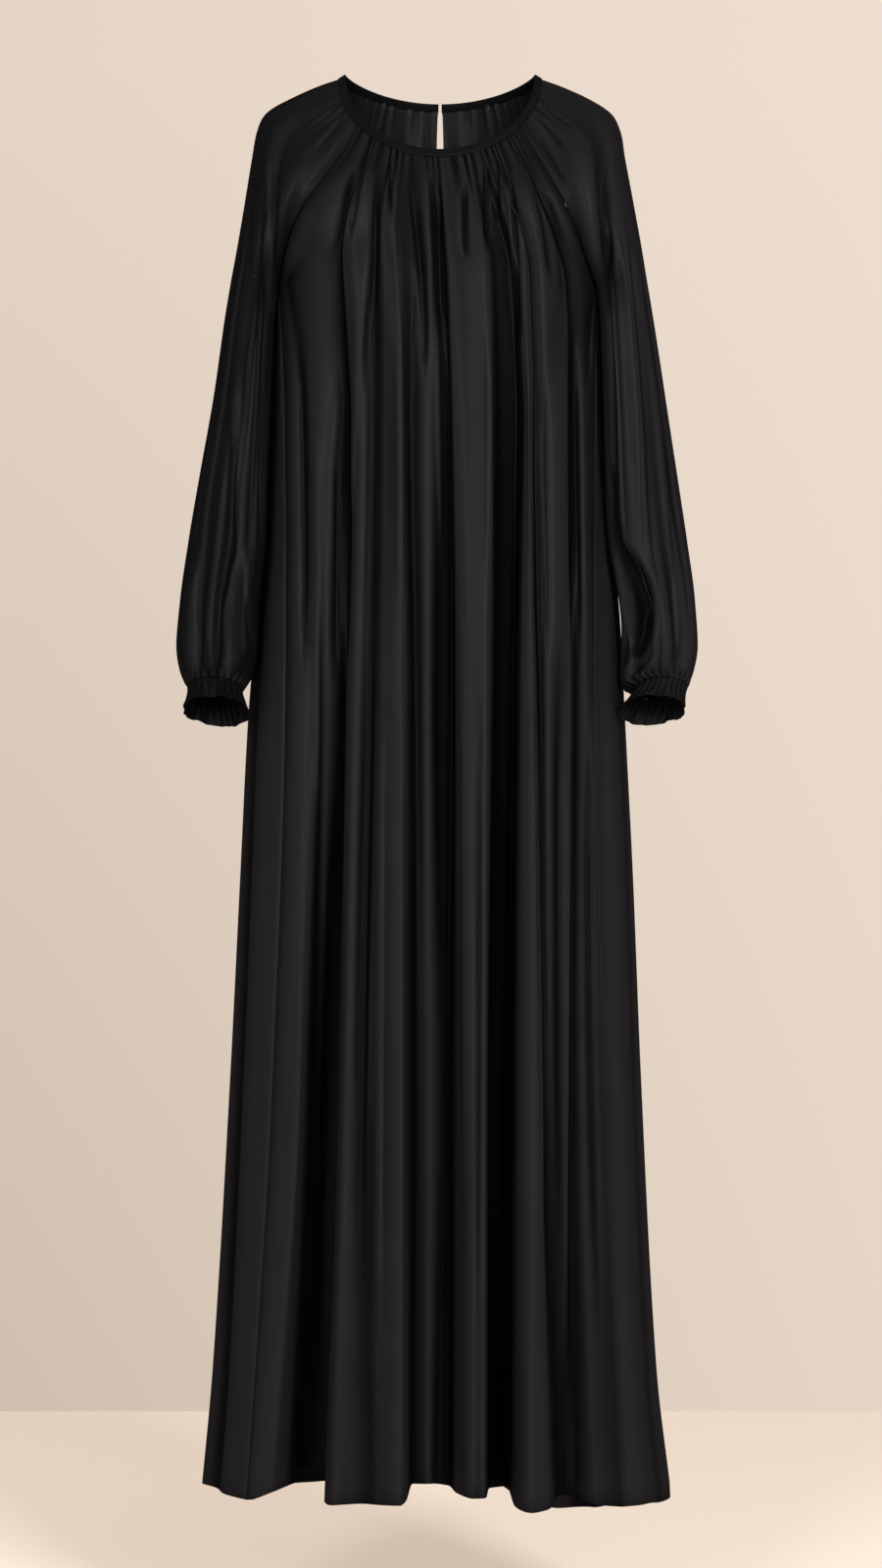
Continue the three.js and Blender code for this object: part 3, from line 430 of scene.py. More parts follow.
def chestRows(column, neckAngles, leftSeam, rightSeam, section, wave):
    # the rows of a panel between the neck and the underarm
    count = len(neckAngles) - 1
    share = raglanShares[:-1, None]
    at = lambda c: neckSeam(curveAt(np.arange(count + 1), neckAngles, np.clip(c, 0, count)))
    angle, foldOut = section(column, np.full(column.shape, robe["underarmZ"]))
    flat = bodyPoint(angle, robe["underarmZ"], 0)
    u = (column / count)[None, :, None]
    nearSeam = lambda away: 1 - smoothStep(away, 0, panel["bowReach"])
    p = patch(at(column)[None], flat[None], leftSeam, rightSeam, u, share[..., None], nearSeam)
    edge = np.minimum(1, panel["edgeFade"] * np.minimum(column, count - column) / count)
    pitch = np.linalg.norm(at(column + 1) - at(column - 1), axis=-1)
    neckAngle = curveAt(np.arange(count + 1), neckAngles, column)
    outward = chestOutward(neckAngle)[None]
    begin = panel["foldsBegin"]
    turnOver = smoothStep(share, begin, 1)[..., None]  # the folds swing round to the skirt's own way out
    folded = bodyPoint(angle, robe["underarmZ"], foldOut)[None] - flat[None]
    above = outward * (foldOut * edge)[None, :, None]
    folds = (above * (1 - turnOver) + folded * turnOver) * smoothStep(share, 0, begin)[..., None]
    swell = panel["chestSwell"] * 4 * share * (1 - share) * np.sin(np.pi * column / count)
    gathers = wave(column) * panel["gatherDepth"] * gatherStrength(share) * edge
    gathers = gathers * np.minimum(1, pitch / panel["fullPitch"])
    return p + folds + outward * (gathers + swell)[..., None]


def skirtPart(column, section, folds):
    # the rows of a panel from the underarm to the hem
    hem = curveAt(folds["column"], folds["hemZ"], column)
    share = np.concatenate([[0], skirtShares])[:, None]
    z = robe["underarmZ"] * (1 - share) + hem * share
    columns = np.broadcast_to(column, z.shape)
    angle, out = section(columns, z)
    return bodyPoint(angle, z, out)


def softened(grid):
    # the slope eases from chest to skirt: each column is smoothed down its length about the underarm
    rows, columns = grid.shape[:2]
    steps = np.linalg.norm(np.diff(grid, axis=0), axis=-1)
    length = np.concatenate([np.zeros((1, columns)), np.cumsum(steps, axis=0)])
    middle = np.argmin(np.abs(grid[:, columns // 2, 2] - robe["underarmZ"]))
    column = np.arange(columns)
    offSeam = smoothStep(np.minimum(column, column[::-1]) / columns, *robe["easeSeams"])
    near = smoothStep(1 - np.abs(length - length[middle]) / robe["easeReach"], 0, 0.6) * offSeam
    for _ in range(robe["easeTimes"]):
        before, after = length[1:-1] - length[:-2], length[2:] - length[1:-1]
        between = (grid[:-2] * after[..., None] + grid[2:] * before[..., None]) / (before + after)[..., None]
        grid[1:-1] += (between - grid[1:-1]) * near[1:-1, :, None] * 0.5
    return grid


# The front's creases: across is x and down is z at three places, then half width, depth and skew
creaseColumns = "a1 d1 a2 d2 a3 d3 width depth skew"
frontCreases = table(creaseColumns, [
    [-62, -105, -64, -180, -66, -270, 3.5, 2.6, 0],
    [-49, -98, -49, -120, -48, -160, 2.6, 2.0, 0.4],
    [-30, -115, -19, -230, -14, -330, 4.5, 3.5, -0.4],
    [-2, -100, 0, -180, 4, -300, 4.0, 3.2, 0.8],
    [25, -118, 25, -155, 26, -205, 3.2, 2.6, 0],
    [46, -98, 46, -130, 47, -200, 2.8, 2.2, 0],
    [57, -96, 57, -120, 57, -165, 2.8, 2.2, 0.4],
    [68, -98, 75, -170, 80, -290, 4.0, 3.6, 1.0],
    [64, -105, 70, -170, 74, -280, 3.0, -1.6, 0],
    [-70, -180, -80, -300, -89, -480, 5.0, -2.4, 0.6],
    [-96, -300, -101, -430, -104, -640, 7.0, 4.5, -0.3],
    [-84, -105, -94, -140, -106, -200, 4.0, 1.6, 0],
    [-74, -100, -80, -135, -90, -190, 3.2, 1.8, 0.3],
    [88, -110, 102, -160, 112, -230, 4.5, 1.8, 0],
    [100, -120, 118, -180, 126, -260, 6.0, 2.0, 0.3],
    [49, -240, 50, -340, 50, -560, 2.2, -1.6, 0.5],
    [-39, -240, -38, -360, -37, -560, 2.4, -1.8, 1.0],
    [-4, -230, -3, -330, 0, -520, 2.6, -1.5, 0],
    [104, -300, 106, -420, 107, -620, 6.0, 3.4, 0.5],
    [134, -250, 137, -380, 138, -600, 5.0, 4.6, 0.4],
    [-141, -260, -139, -380, -136, -620, 4.5, 3.6, -0.5],
    [-126, -320, -122, -480, -122, -760, 3.0, -1.6, 0],
    [-118, -420, -116, -640, -124, -980, 2.6, 1.4, 0.6],
    [-66, -560, -72, -820, -78, -1180, 5.0, 2.6, 0.5],
    [-56, -640, -57, -900, -58, -1260, 3.4, -1.8, 0.4],
    [22, -500, 24, -760, 26, -1160, 4.0, -1.6, 0],
    [40, -620, 39, -900, 37, -1300, 3.2, 1.8, 0.6],
    [97, -520, 98, -800, 100, -1240, 3.0, -1.8, 0.5],
    [118, -560, 118, -840, 120, -1240, 6.0, 3.2, 0],
    [-104, -700, -112, -960, -122, -1340, 5.5, 3.0, -0.4],
    [146, -640, 148, -900, 158, -1300, 5.0, 2.6, 0.4],
])


def frontGrid():
    # the front's points from the neck to the hem, across from the viewer's left to the right
    count = panel["frontColumns"]
    whole = np.arange(count + 1.0)
    angle, _ = frontSection(whole, np.full(whole.shape, robe["underarmZ"]))
    x = bodyPoint(angle, robe["underarmZ"], 0)[:, 0]
    away = x / np.where(x < 0, x[0], x[-1])
    reach = curveAt([0, 0.25, 0.5, 0.75, 1], [0, 0.36, 0.64, 0.85, 1], away)
    neckAngles = spreadAngles(np.sign(x) * panel["frontNeckAngle"] * reach, panel["leastNeckPitch"]["front"])
    column = np.linspace(0, count, count * panel["columnSteps"] + 1)
    wave = lambda c: gatherWave(c * panel["frontGathers"] / count)
    upper = chestRows(column, neckAngles, frontSeams[-1], frontSeams[1], frontSection, wave)
    grid = softened(np.concatenate([upper, skirtPart(column, frontSection, frontFolds)]))
    strength = seamFade(len(column), panel["seamFade"]) * panel["creaseScale"]
    return pressed(grid, grid[..., 0], grid[..., 2], frontCreases, strength)


# The back's creases, in the same columns
backCreases = table(creaseColumns, [
    [-70, -60, -82, -120, -92, -220, 4.0, 2.2, 0],
    [-52, -55, -56, -110, -60, -210, 3.2, 2.4, 0.3],
    [-34, -52, -36, -120, -38, -260, 3.4, 2.8, -0.4],
    [-18, -60, -17, -130, -15, -240, 3.0, 2.2, 0],
    [16, -60, 17, -140, 20, -260, 3.2, 2.4, 0.4],
    [31, -52, 34, -120, 38, -230, 3.2, 2.8, 0],
    [50, -55, 55, -100, 62, -190, 3.0, 2.2, -0.3],
    [68, -60, 80, -120, 92, -210, 4.2, 2.4, 0],
    [-118, -240, -116, -420, -118, -760, 5.5, 3.6, 0.4],
    [-92, -300, -94, -520, -98, -900, 4.6, -2.2, 0],
    [-64, -260, -62, -480, -60, -820, 4.5, 3.4, -0.4],
    [-22, -300, -24, -560, -26, -960, 4.0, -2.0, 0.4],
    [4, -280, 6, -480, 8, -840, 5.0, 3.6, 0.3],
    [42, -260, 40, -460, 44, -780, 3.6, -2.0, 0],
    [74, -300, 76, -560, 82, -980, 5.0, 3.6, 0.4],
    [116, -260, 118, -440, 120, -800, 5.5, 3.8, -0.4],
    [-140, -620, -146, -900, -156, -1340, 6.0, 3.4, 0],
    [-74, -700, -76, -980, -80, -1380, 5.0, 2.8, 0.4],
    [-6, -760, -6, -1020, -4, -1380, 4.4, -2.2, 0],
    [58, -680, 60, -960, 66, -1360, 5.0, 3.0, -0.3],
    [104, -700, 108, -1000, 116, -1400, 4.6, -2.0, 0.4],
    [142, -640, 148, -920, 158, -1360, 6.0, 3.2, 0],
])
slit = {
    "end": 0.4,  # share of the raglan length that it opens
    "neckHalfWidth": 3.6,
    "halfWidths": [1.6, 2.6, 3.4, 0.5],  # at the shares of its own length below
    "shares": [0, 0.1, 0.6, 1],
    "pull": 4,  # fine columns to each side that it draws along
    "lowest": -110,  # creases keep clear of it down to here
}


def backGrid():
    # the back's points, and the fine column on the near side of its slit
    count = panel["backColumns"]
    middle = (count - 1) / 2
    whole = np.arange(count + 1.0)
    angle, _ = backSection(whole, np.full(whole.shape, robe["underarmZ"]))
    away = np.abs(angle - 180)
    side = np.where(whole <= middle, -1, 1)
    inmost = away[int(middle)]
    reach = curveAt(
        [0, 0.15, 0.3, 0.5, 0.75, 1],
        [0, 0.3, 0.53, 0.74, 0.9, 1],
        (away - inmost) / (np.where(side < 0, away[0], away[-1]) - inmost),
    )
    edge = neckDegrees(slit["neckHalfWidth"])
    fromMiddle = edge + (panel["backNeckAngle"] - edge) * reach
    neckAngles = spreadAngles(180 + side * fromMiddle, panel["leastNeckPitch"]["back"])
    half = int(middle) * panel["columnSteps"] + 1
    column = np.concatenate([np.linspace(0, middle, half), np.linspace(middle + 1, count, half)])
    wave = lambda c: gatherWave(np.where(c <= middle, c, c - 1) * panel["backGathers"] / (count - 1))
    upper = chestRows(column, neckAngles, backSeams[1], backSeams[-1], backSection, wave)
    opening = curveAt(slit["shares"], slit["halfWidths"], raglanShares[:-1] / slit["end"])
    fine = np.arange(len(column))
    for edgeColumn, toSide in ((half - 1, 1), (half, -1)):
        sameSide = np.sign(fine - half + 0.5) == -toSide
        near = np.exp(-(((fine - edgeColumn) / slit["pull"]) ** 2)) * sameSide
        shift = (toSide * opening - upper[:, edgeColumn, 0]) * (raglanShares[:-1] < slit["end"] * 1.05)
        upper[..., 0] += shift[:, None] * near
    grid = softened(np.concatenate([upper, skirtPart(column, backSection, backFolds)]))
    clear = smoothStep(np.abs(fine - half + 0.5) / slit["pull"], 0.2, 1)
    offSlit = np.where(grid[..., 2] > slit["lowest"], clear, 1)
    strength = seamFade(len(column), panel["seamFade"]) * offSlit * (grid[..., 1] > 0)
    return pressed(grid, grid[..., 0], grid[..., 2], backCreases, strength), half - 1


# The sleeve's sections, from the underarm to the cuff
sleeveSections = table("leftX rightX outerZ leftInnerX rightInnerX innerZ innerY frontY backY", [
    [213, 211, -212, 163.5, 159.5, -218, -12, -68, 62],
    [219, 217, -250, 166.5, 161.5, -258, -52, -73, 58],
    [230, 229, -330, 169.5, 164, -334, -58, -79, 52],
    [243, 240, -405, 172.5, 166, -409, -60, -84, 46],
    [254.5, 250, -475, 175, 170, -480, -60, -90, 38],
    [262.5, 257.5, -535, 182, 180, -538, -52, -95, 26],
    [266, 260, -582, 184, 186, -586, -40, -98, 12],
    [262, 255.5, -610, 189, 192, -612, -36, -94, -4],
    [254, 249, -626, 199, 196, -628, -50, -80, -26],
])
# Grooves along a sleeve: share of the way from underarm to cuff, below 0 on the raglan part; the angle from
# the inner seam through the front; half the width in degrees; and the depth
sleeveGrooves = {name: table("share angle halfWidth depth", rows) for name, rows in {
    "raglan": [
        [-0.85, 130, 30, 0],
        [-0.6, 108, 32, 4],
        [-0.4, 82, 32, 6],
        [-0.18, 56, 30, 5],
        [0.02, 38, 26, 3],
        [0.14, 26, 24, 0],
    ],
    "panel": [
        [-0.85, 80, 34, 0],
        [-0.6, 60, 40, -4],
        [-0.4, 42, 40, -4],
        [-0.18, 24, 30, -2],
        [0, 12, 20, 0],
    ],
    "leftLow": [
        [0.2, 66, 26, 0],
        [0.4, 62, 26, 6],
        [0.6, 58, 26, 11],
        [0.8, 62, 24, 10],
        [0.92, 66, 20, 6],
        [1, 66, 20, 0],
    ],
    "leftOuter": [
        [0.45, 122, 26, 0],
        [0.65, 124, 26, 6],
        [0.85, 124, 22, 8],
        [1, 120, 20, 0],
    ],
    "rightLow": [
        [0.36, 16, 26, 0],
        [0.55, 24, 26, 12],
        [0.7, 40, 28, 24],
        [0.82, 54, 26, 22],
        [0.92, 48, 22, 10],
        [1, 40, 22, 0],
    ],
    "rightOuter": [
        [0.1, 118, 26, 0],
        [0.4, 112, 26, 5],
        [0.8, 118, 24, 9],
        [1, 118, 20, 0],
    ],
    "back": [
        [-0.5, 236, 24, 0],
        [-0.1, 262, 28, 5],
        [0.2, 272, 28, 5],
        [0.5, 258, 26, 9],
        [0.8, 244, 24, 8],
        [1, 240, 22, 0],
    ],
    "outer": [
        [0.15, 214, 26, 0],
        [0.5, 206, 26, 7],
        [0.85, 200, 24, 6],
        [1, 200, 22, 0],
    ],
}.items()}
ownGrooves = {-1: ["leftLow", "leftOuter"], 1: ["rightLow", "rightOuter"]}
# A sleeve's creases: across is the angle and down the share, as for the grooves. -1 is the viewer's left.
sharedSleeveCreases = [
    [196, -0.5, 204, 0.1, 206, 0.8, 7, 3.0, 0.4],
    [232, -0.3, 238, 0.2, 230, 0.9, 8, 3.2, 0],
    [262, -0.5, 270, 0.1, 262, 0.7, 7, -2.4, 0.4],
    [286, 0.0, 292, 0.4, 280, 0.95, 8, 3.4, 0],
    [320, 0.2, 318, 0.5, 310, 0.95, 9, 3.0, 0.3],
    [215, 0.5, 218, 0.75, 222, 0.98, 5, -2.0, 0],
    [250, 0.6, 252, 0.8, 250, 0.98, 5, -2.2, 0],
    [24, -0.9, 20, -0.75, 16, -0.55, 7, 1.8, 0],
    [58, -0.97, 54, -0.85, 48, -0.7, 7, 2.0, 0],
    [96, -0.98, 92, -0.88, 88, -0.76, 7, 1.6, 0],
    [238, -0.98, 244, -0.85, 252, -0.6, 9, 2.2, 0],
    [290, -0.98, 298, -0.85, 308, -0.6, 10, 2.2, 0],
]
sleeveCreases = {
    -1: table(creaseColumns, [
        [60, -0.2, 62, 0.3, 60, 0.86, 5, 3.6, 0.4],
        [78, 0.1, 80, 0.45, 78, 0.9, 6, -2.4, 0],
        [98, 0.25, 96, 0.6, 92, 0.96, 5, 3.2, 0],
        [36, 0.15, 38, 0.5, 44, 0.9, 6, 3.0, -0.4],
        [122, -0.3, 126, 0.3, 124, 0.9, 7, 3.0, 0.4],
        [146, 0.1, 148, 0.5, 142, 0.95, 6, -2.2, 0],
        [160, 0.4, 160, 0.7, 156, 0.97, 5, 2.6, 0],
        *sharedSleeveCreases,
    ]),
    1: table(creaseColumns, [
        [96, -0.3, 84, 0.25, 66, 0.62, 3.4, -2.6, 0.8],
        [108, -0.2, 98, 0.3, 84, 0.8, 6, 2.8, 0],
        [126, 0.1, 124, 0.5, 118, 0.95, 5, -2.2, 0],
        [56, -0.1, 50, 0.3, 40, 0.62, 6, 3.0, -0.4],
        [142, -0.2, 144, 0.3, 138, 0.9, 7, 3.2, 0.4],
        [160, 0.3, 160, 0.65, 154, 0.97, 5, 2.6, 0],
        [84, 0.62, 86, 0.8, 90, 0.98, 4.5, 2.6, 0],
        *sharedSleeveCreases,
    ]),
}
# Folds on a sleeve's front half, where across is the distance from the robe's middle and down is the height
sleeveFrontCreases = {
    -1: table(creaseColumns, [
        [173.5, -84, 170.5, -174, 168.6, -262, 5, 8, 0],
        [184, -90, 186, -180, 184, -300, 6, -2.4, 0],
        [203, -280, 200, -400, 196, -520, 6, 4.5, 0],
        [209, -300, 207, -420, 204, -540, 4, -2.2, 0],
        [196, -480, 193, -530, 186, -590, 4, 4, 0],
        [216, -520, 213, -560, 212, -600, 3.5, 3, 0],
        [240, -480, 245, -545, 236, -610, 5, 3.5, 0],
        [172, -215, 175, -350, 179, -500, 4, 5, 0],
    ]),
    1: table(creaseColumns, [
        [169.5, -96, 167.4, -160, 166, -225, 5, 8, 0],
        [180, -120, 193, -265, 207, -480, 3, -2.8, 0.8],
        [182, -478, 208, -545, 194, -618, 10, 12, 1.2],
        [168, -205, 171, -350, 173, -500, 5, 6, 0],
        [190, -478, 219, -545, 206, -618, 5, -3, 0],
        [226, -300, 232, -420, 236, -560, 6, 3, 0],
    ]),
}
sleeve = {
    "columns": 32,
    "columnSteps": 6,
    "rows": 110,
    "neckGathers": 8,
    "cuffGathers": 26,
    "gatherDepth": 1.6,
    "casingHold": 0.35,  # how much of the gathers' depth is left where the elastic holds them
    "neckGatherShare": 0.55,  # of the panels' gather depth
    "backSpread": 0.7,  # below 1 moves the back half's columns at the neck towards the back seam
    "innerPinch": 1.7,  # how sharply the ring narrows towards the body, at its back
    "frontPinch": 0.25,  # share of that at its front
    # how far the wearer's left sleeve bags towards the body, at the shares below
    "pouch": [0, 0, 5, 12, 11, 1],
    "pouchShares": [0, 0.66, 0.78, 0.9, 0.96, 1],
    "underarmTuck": 1.4,  # the sleeve is pulled against the body just below the underarm
    "tuckReach": 11,
    "cuffTilt": 11,
    "cuffLength": 26,
    "cuffFlare": 6,
    "cuffWaves": [[5, 1.0, 0.9], [8, 2.1, 0.8], [13, 0.4, 0.6]],  # waves round the rim, their turn and depth
    "cuffDroop": 4,  # the rim hangs lower at its inner back
    "droopAngle": 320,
    "droopReach": 50,
    "cuffRows": 22,
    "cuffAxis": {-1: (-0.08, -0.54, -0.84), 1: (-0.32, -0.5, -0.8)},
    "seamGap": 0.3,
}


def sleeveRing(side, share, angle):
    # a point of a sleeve's ring, drawn on the +X side; the angle runs from the inner seam through the front
    index = np.arange(len(sleeveSections["outerZ"])) / (len(sleeveSections["outerZ"]) - 1)
    at = lambda name: curveAt(index, sleeveSections[name], share)
    outerX, innerX = at(viewerSide[side] + "X"), at(viewerSide[side] + "InnerX")
    s, c = sineCosine(angle)
    inward = (1 + c) / 2
    middleY = (at("frontY") + at("backY")) / 2
    pinch = sleeve["innerPinch"] * inward**2 * (1 - smoothStep(share, 0.5, 0.95))
    narrow = pinch * np.where(s < 0, 1, sleeve["frontPinch"])
    across = np.where(c > 0, np.abs(c) ** (1 + narrow), c)
    x = (outerX + innerX) / 2 - (outerX - innerX) / 2 * across
    y = middleY - (at("backY") - at("frontY")) / 2 * s + (at("innerY") - middleY) * inward**3
    tilt = smoothStep(share, 0.6, 1) * sleeve["cuffTilt"] * s
    z = at("outerZ") * (1 - inward) + at("innerZ") * inward + tilt
    if side > 0:
        x = x - curveAt(sleeve["pouchShares"], sleeve["pouch"], share) * inward**1.5
    return points(x, y, z)


def sleeveGroove(side, share, angle):
    total = 0
    for name in ("raglan", "panel", *ownGrooves[side], "back", "outer"):
        at = lambda column: columnCurve(sleeveGrooves[name], "share", column, share)
        away = np.abs(angle - at("angle")) / at("halfWidth")
        hollow = 0.5 + 0.5 * np.cos(np.pi * np.minimum(away, 1))
        total = total - np.where(away < 1, at("depth") * hollow, 0)
    return total


def gridNormals(grid, ring=False):
    # the way out at each point of a grid whose rows run down and whose columns run to the viewer's right
    down = np.gradient(grid, axis=0)
    if ring:
        along = np.gradient(np.concatenate([grid[:, -2:-1], grid, grid[:, 1:2]], axis=1), axis=1)[:, 1:-1]
    else:
        along = np.gradient(grid, axis=1)
    return unit(np.cross(down, along))


def pressed(grid, across, down, creases, strength=1):
    # presses creases into a grid. Each runs through three places given by the two coordinates. It is a trough
    # where its depth is above 0 and a ridge below, and skew makes the side towards rising "across" steeper
    out = np.zeros(grid.shape[:2])
    for i in range(len(creases["depth"])):
        at = {name: values[i] for name, values in creases.items()}
        path = sorted((at["d" + n], at["a" + n]) for n in "123")
        line = curveAt([d for d, _ in path], [a for _, a in path], down)
        along = (down - path[0][0]) / (path[2][0] - path[0][0])
        held = smoothStep(along, 0, 0.3) * (1 - smoothStep(along, 0.7, 1))
        away = (across - line) / at["width"]
        away = np.where(away > 0, away * (1 + at["skew"]), away / (1 + at["skew"]))
        out -= at["depth"] * held * np.exp(-np.abs(away) ** 1.6)
    return grid + gridNormals(grid) * (out * strength)[..., None]


def seamFade(columns, width):
    # 0 on the two seam columns and 1 away from them, so that neighbours still meet
    column = np.arange(columns)
    return smoothStep(np.minimum(column, column[::-1]) / width, 0, 1)


def cuffGathers(side, turn):
    # fine gathers round a wrist, uneven in width and depth
    t = np.radians(turn)
    wave = np.cos(sleeve["cuffGathers"] * t + 1.3 * np.sin(3 * t + side) + 0.9 * np.sin(5 * t))
    return wave * (0.72 + 0.28 * np.cos(4 * t + 2 * side)) * sleeve["gatherDepth"]


def ringColumns():
    # the fine columns round a sleeve or a cuff, and the angle of each
    column = np.linspace(0, sleeve["columns"], sleeve["columns"] * sleeve["columnSteps"] + 1)
    return column, column * 360 / sleeve["columns"]


def sleeveGrid(side):
    # a sleeve's points: the raglan part between its two seams, and the rings below it
    half = sleeve["columns"] / 2
    column, turn = ringColumns()
    mirror = np.array([side, 1, 1])
    front, back = frontSeams[side] * mirror, backSeams[side] * mirror
    firstRing = sleeveRing(side, 0.0 * turn, turn)
    name = viewerSide[side] + "X"
    shoulder = alongCurve(
        [
            neckSeam(np.array(90.0)),
            *zip(shoulderLine[name], shoulderLine["y"], shoulderLine["z"]),
            sleeveRing(side, np.array(0.0), np.array(180.0)),
        ],
        raglanShares,
    )
    forward = column <= half
    u = np.where(forward, column / half, (column - half) / half)
    neckAngle = np.where(
        forward,
        panel["frontNeckAngle"] + (90 - panel["frontNeckAngle"]) * u,
        90 + (90 - panel["backNeckAngle"]) * np.maximum(u, 0) ** sleeve["backSpread"],
    )
    top = neckSeam(neckAngle)
    share, allAcross = raglanShares[:-1, None, None], lambda away: 1 - away
    halves = [
        patch(top[None, part], firstRing[None, part], left, right, u[part][None, :, None], share, allAcross)
        for left, right, part in ((front, shoulder, forward), (shoulder, back, ~forward))
    ]
    upper = np.concatenate(halves, axis=1)
    ringShares = np.linspace(0, 1, sleeve["rows"] + 1)[:, None]
    lower = sleeveRing(side, ringShares + 0 * turn, turn + 0 * ringShares)
    grid = np.concatenate([upper, lower])
    normals = gridNormals(grid)
    normals[len(upper) :] = gridNormals(lower, ring=True)
    beside = smoothStep(np.abs(column - half), 1, 6)
    wave = gatherWave(column / sleeve["columns"] * sleeve["neckGathers"] + 0.5)
    gathered = wave * panel["gatherDepth"] * sleeve["neckGatherShare"] * beside
    raglan = raglanShares[:-1, None]
    offSeam = smoothStep(np.minimum(column, sleeve["columns"] - column), 0, 1)
    grooved = sleeveGroove(side, raglan - 1 + 0 * turn, turn + 0 * raglan)
    outUpper = (grooved + gathered * gatherStrength(raglan)) * offSeam
    held = 1 - (1 - sleeve["casingHold"]) * smoothStep(ringShares, 0.97, 1)
    wristGathers = cuffGathers(side, turn) * (smoothStep(ringShares, 0.9, 0.98) * held)
    offUnderarm = 1 - (1 - offSeam) * (1 - smoothStep(ringShares, 0, 0.05))
    outLower = sleeveGroove(side, ringShares + 0 * turn, turn + 0 * ringShares) * offUnderarm
    grid = grid + normals * np.concatenate([outUpper, outLower])[..., None]
    down = np.concatenate([raglan - 1, ringShares]) + 0 * turn
    offCuff = 1 - smoothStep(down, 0.94, 1)
    nearUnderarm = np.exp(-(((grid[..., 2] - robe["underarmZ"]) / sleeve["tuckReach"]) ** 2))
    grid[..., 0] -= sleeve["underarmTuck"] * (nearUnderarm * ((1 + np.cos(np.radians(turn))) / 2) ** 4)
    grid = pressed(grid, turn + 0 * down, down, sleeveCreases[side], seamFade(len(turn), 3) * offCuff)
    onFront = smoothStep(turn, 4, 14) * (1 - smoothStep(turn, 158, 178)) * offCuff
    grid = pressed(grid, grid[..., 0], grid[..., 2], sleeveFrontCreases[side], onFront)
    grid[len(upper) :] += gridNormals(grid[len(upper) :], ring=True) * wristGathers[..., None]
    return grid * mirror


def cuffGrid(side):
    # a cuff's points: it hangs from the sleeve's last ring along its own axis and flares to a wavy rim
    _, turn = ringColumns()
    start = sleeveRing(side, 1 + 0 * turn, turn)
    middle = start[:-1].mean(axis=0)
    axis = unit(np.array(sleeve["cuffAxis"][side]))
    out = start - middle
    out = unit(out - (out @ axis)[:, None] * axis)
    share = np.linspace(0, 1, sleeve["cuffRows"] + 1)[:, None]
    soft = sum(depth * np.cos(count * np.radians(turn) + at) for count, at, depth in sleeve["cuffWaves"])
    held = sleeve["casingHold"] + (1 - sleeve["casingHold"]) * smoothStep(share, 0.3, 0.5)
    gathers = cuffGathers(side, turn) * held * (1 - 0.75 * smoothStep(share, 0.4, 1))
    flare = sleeve["cuffFlare"] * share**2 + gathers + soft * smoothStep(share, 0.3, 1)
    away = np.abs(turn - sleeve["droopAngle"])
    away = np.minimum(away, 360 - away)
    droop = sleeve["cuffDroop"] * np.exp(-((away / sleeve["droopReach"]) ** 2))
    down = sleeve["seamGap"] + (sleeve["cuffLength"] + droop) * share
    grid = start[None] + axis * down[..., None] + out * flare[..., None]
    return grid * np.array([side, 1, 1])


crepe = {
    # each finish has three shades painted by fold height, for a fold's valley (painted shade), slope and
    # crest (painted highlight), and its roughness
    "black crepe": ("#040405", "#0a0b0c", "#18181a", 0.42),
    "folded bias crepe": ("#0b0c0e", "#0c0d0f", "#101113", 0.6),
    # duller and a little paler, the paleness partly painted light where the inside shows at the neck; there
    # the outside's valleys are the crests, so its painted shade and painted highlight are swapped
    "crepe wrong side": ("#1f1e20", "#1a1a1b", "#0e0e0f", 0.7),
    "black sewing thread": ("#111213", "#131415", "#161718", 0.5),
    "shadeStops": (0.12, 0.48, 0.86),
    "gloss": 0.0022,  # the same from every side, so that the outer edges stay dark
    "glossRoughness": 0.38,
    "grainMm": 0.9,  # the pebbled thread grain is finer, and is drawn this coarse so that it shows
    "grainStrength": 0.12,
    "grainDepth": 0.0003,  # metres
    "mottleMm": 70,
    "mottle": 0.16,  # how far the shade wanders
    "paintedShadeReach": [4, 10, 28],  # fine columns to each side, over which the fold height for the painted shade is measured
    "paintedShadeDepth": 0.085,  # mm for each column of the reach
}


def paintedFoldShade(grid, paintedShadeRelief, level):
    # how far each point stands above (1) or below (0) the cloth's mean course across its folds; the crepe
    # materials turn it into painted shade in the valleys and a painted highlight on the crests
    mean = 0
    for reach in crepe["paintedShadeReach"]:
        kernel = np.hanning(2 * reach + 3)[1:-1]
        kernel /= kernel.sum()
        padded = np.pad(grid, ((0, 0), (reach, reach), (0, 0)), mode="reflect")
        course = sum(w * padded[:, i : i + grid.shape[1]] for i, w in enumerate(kernel))
        off = ((grid - course) * gridNormals(grid)).sum(axis=-1)
        mean = mean + np.tanh(off / (crepe["paintedShadeDepth"] * reach))
    return level + 0.5 * paintedShadeRelief * mean / len(crepe["paintedShadeReach"])


def addObject(name, data):
    thing = bpy.data.objects.new(name, data)
    bpy.context.scene.collection.objects.link(thing)
    return thing


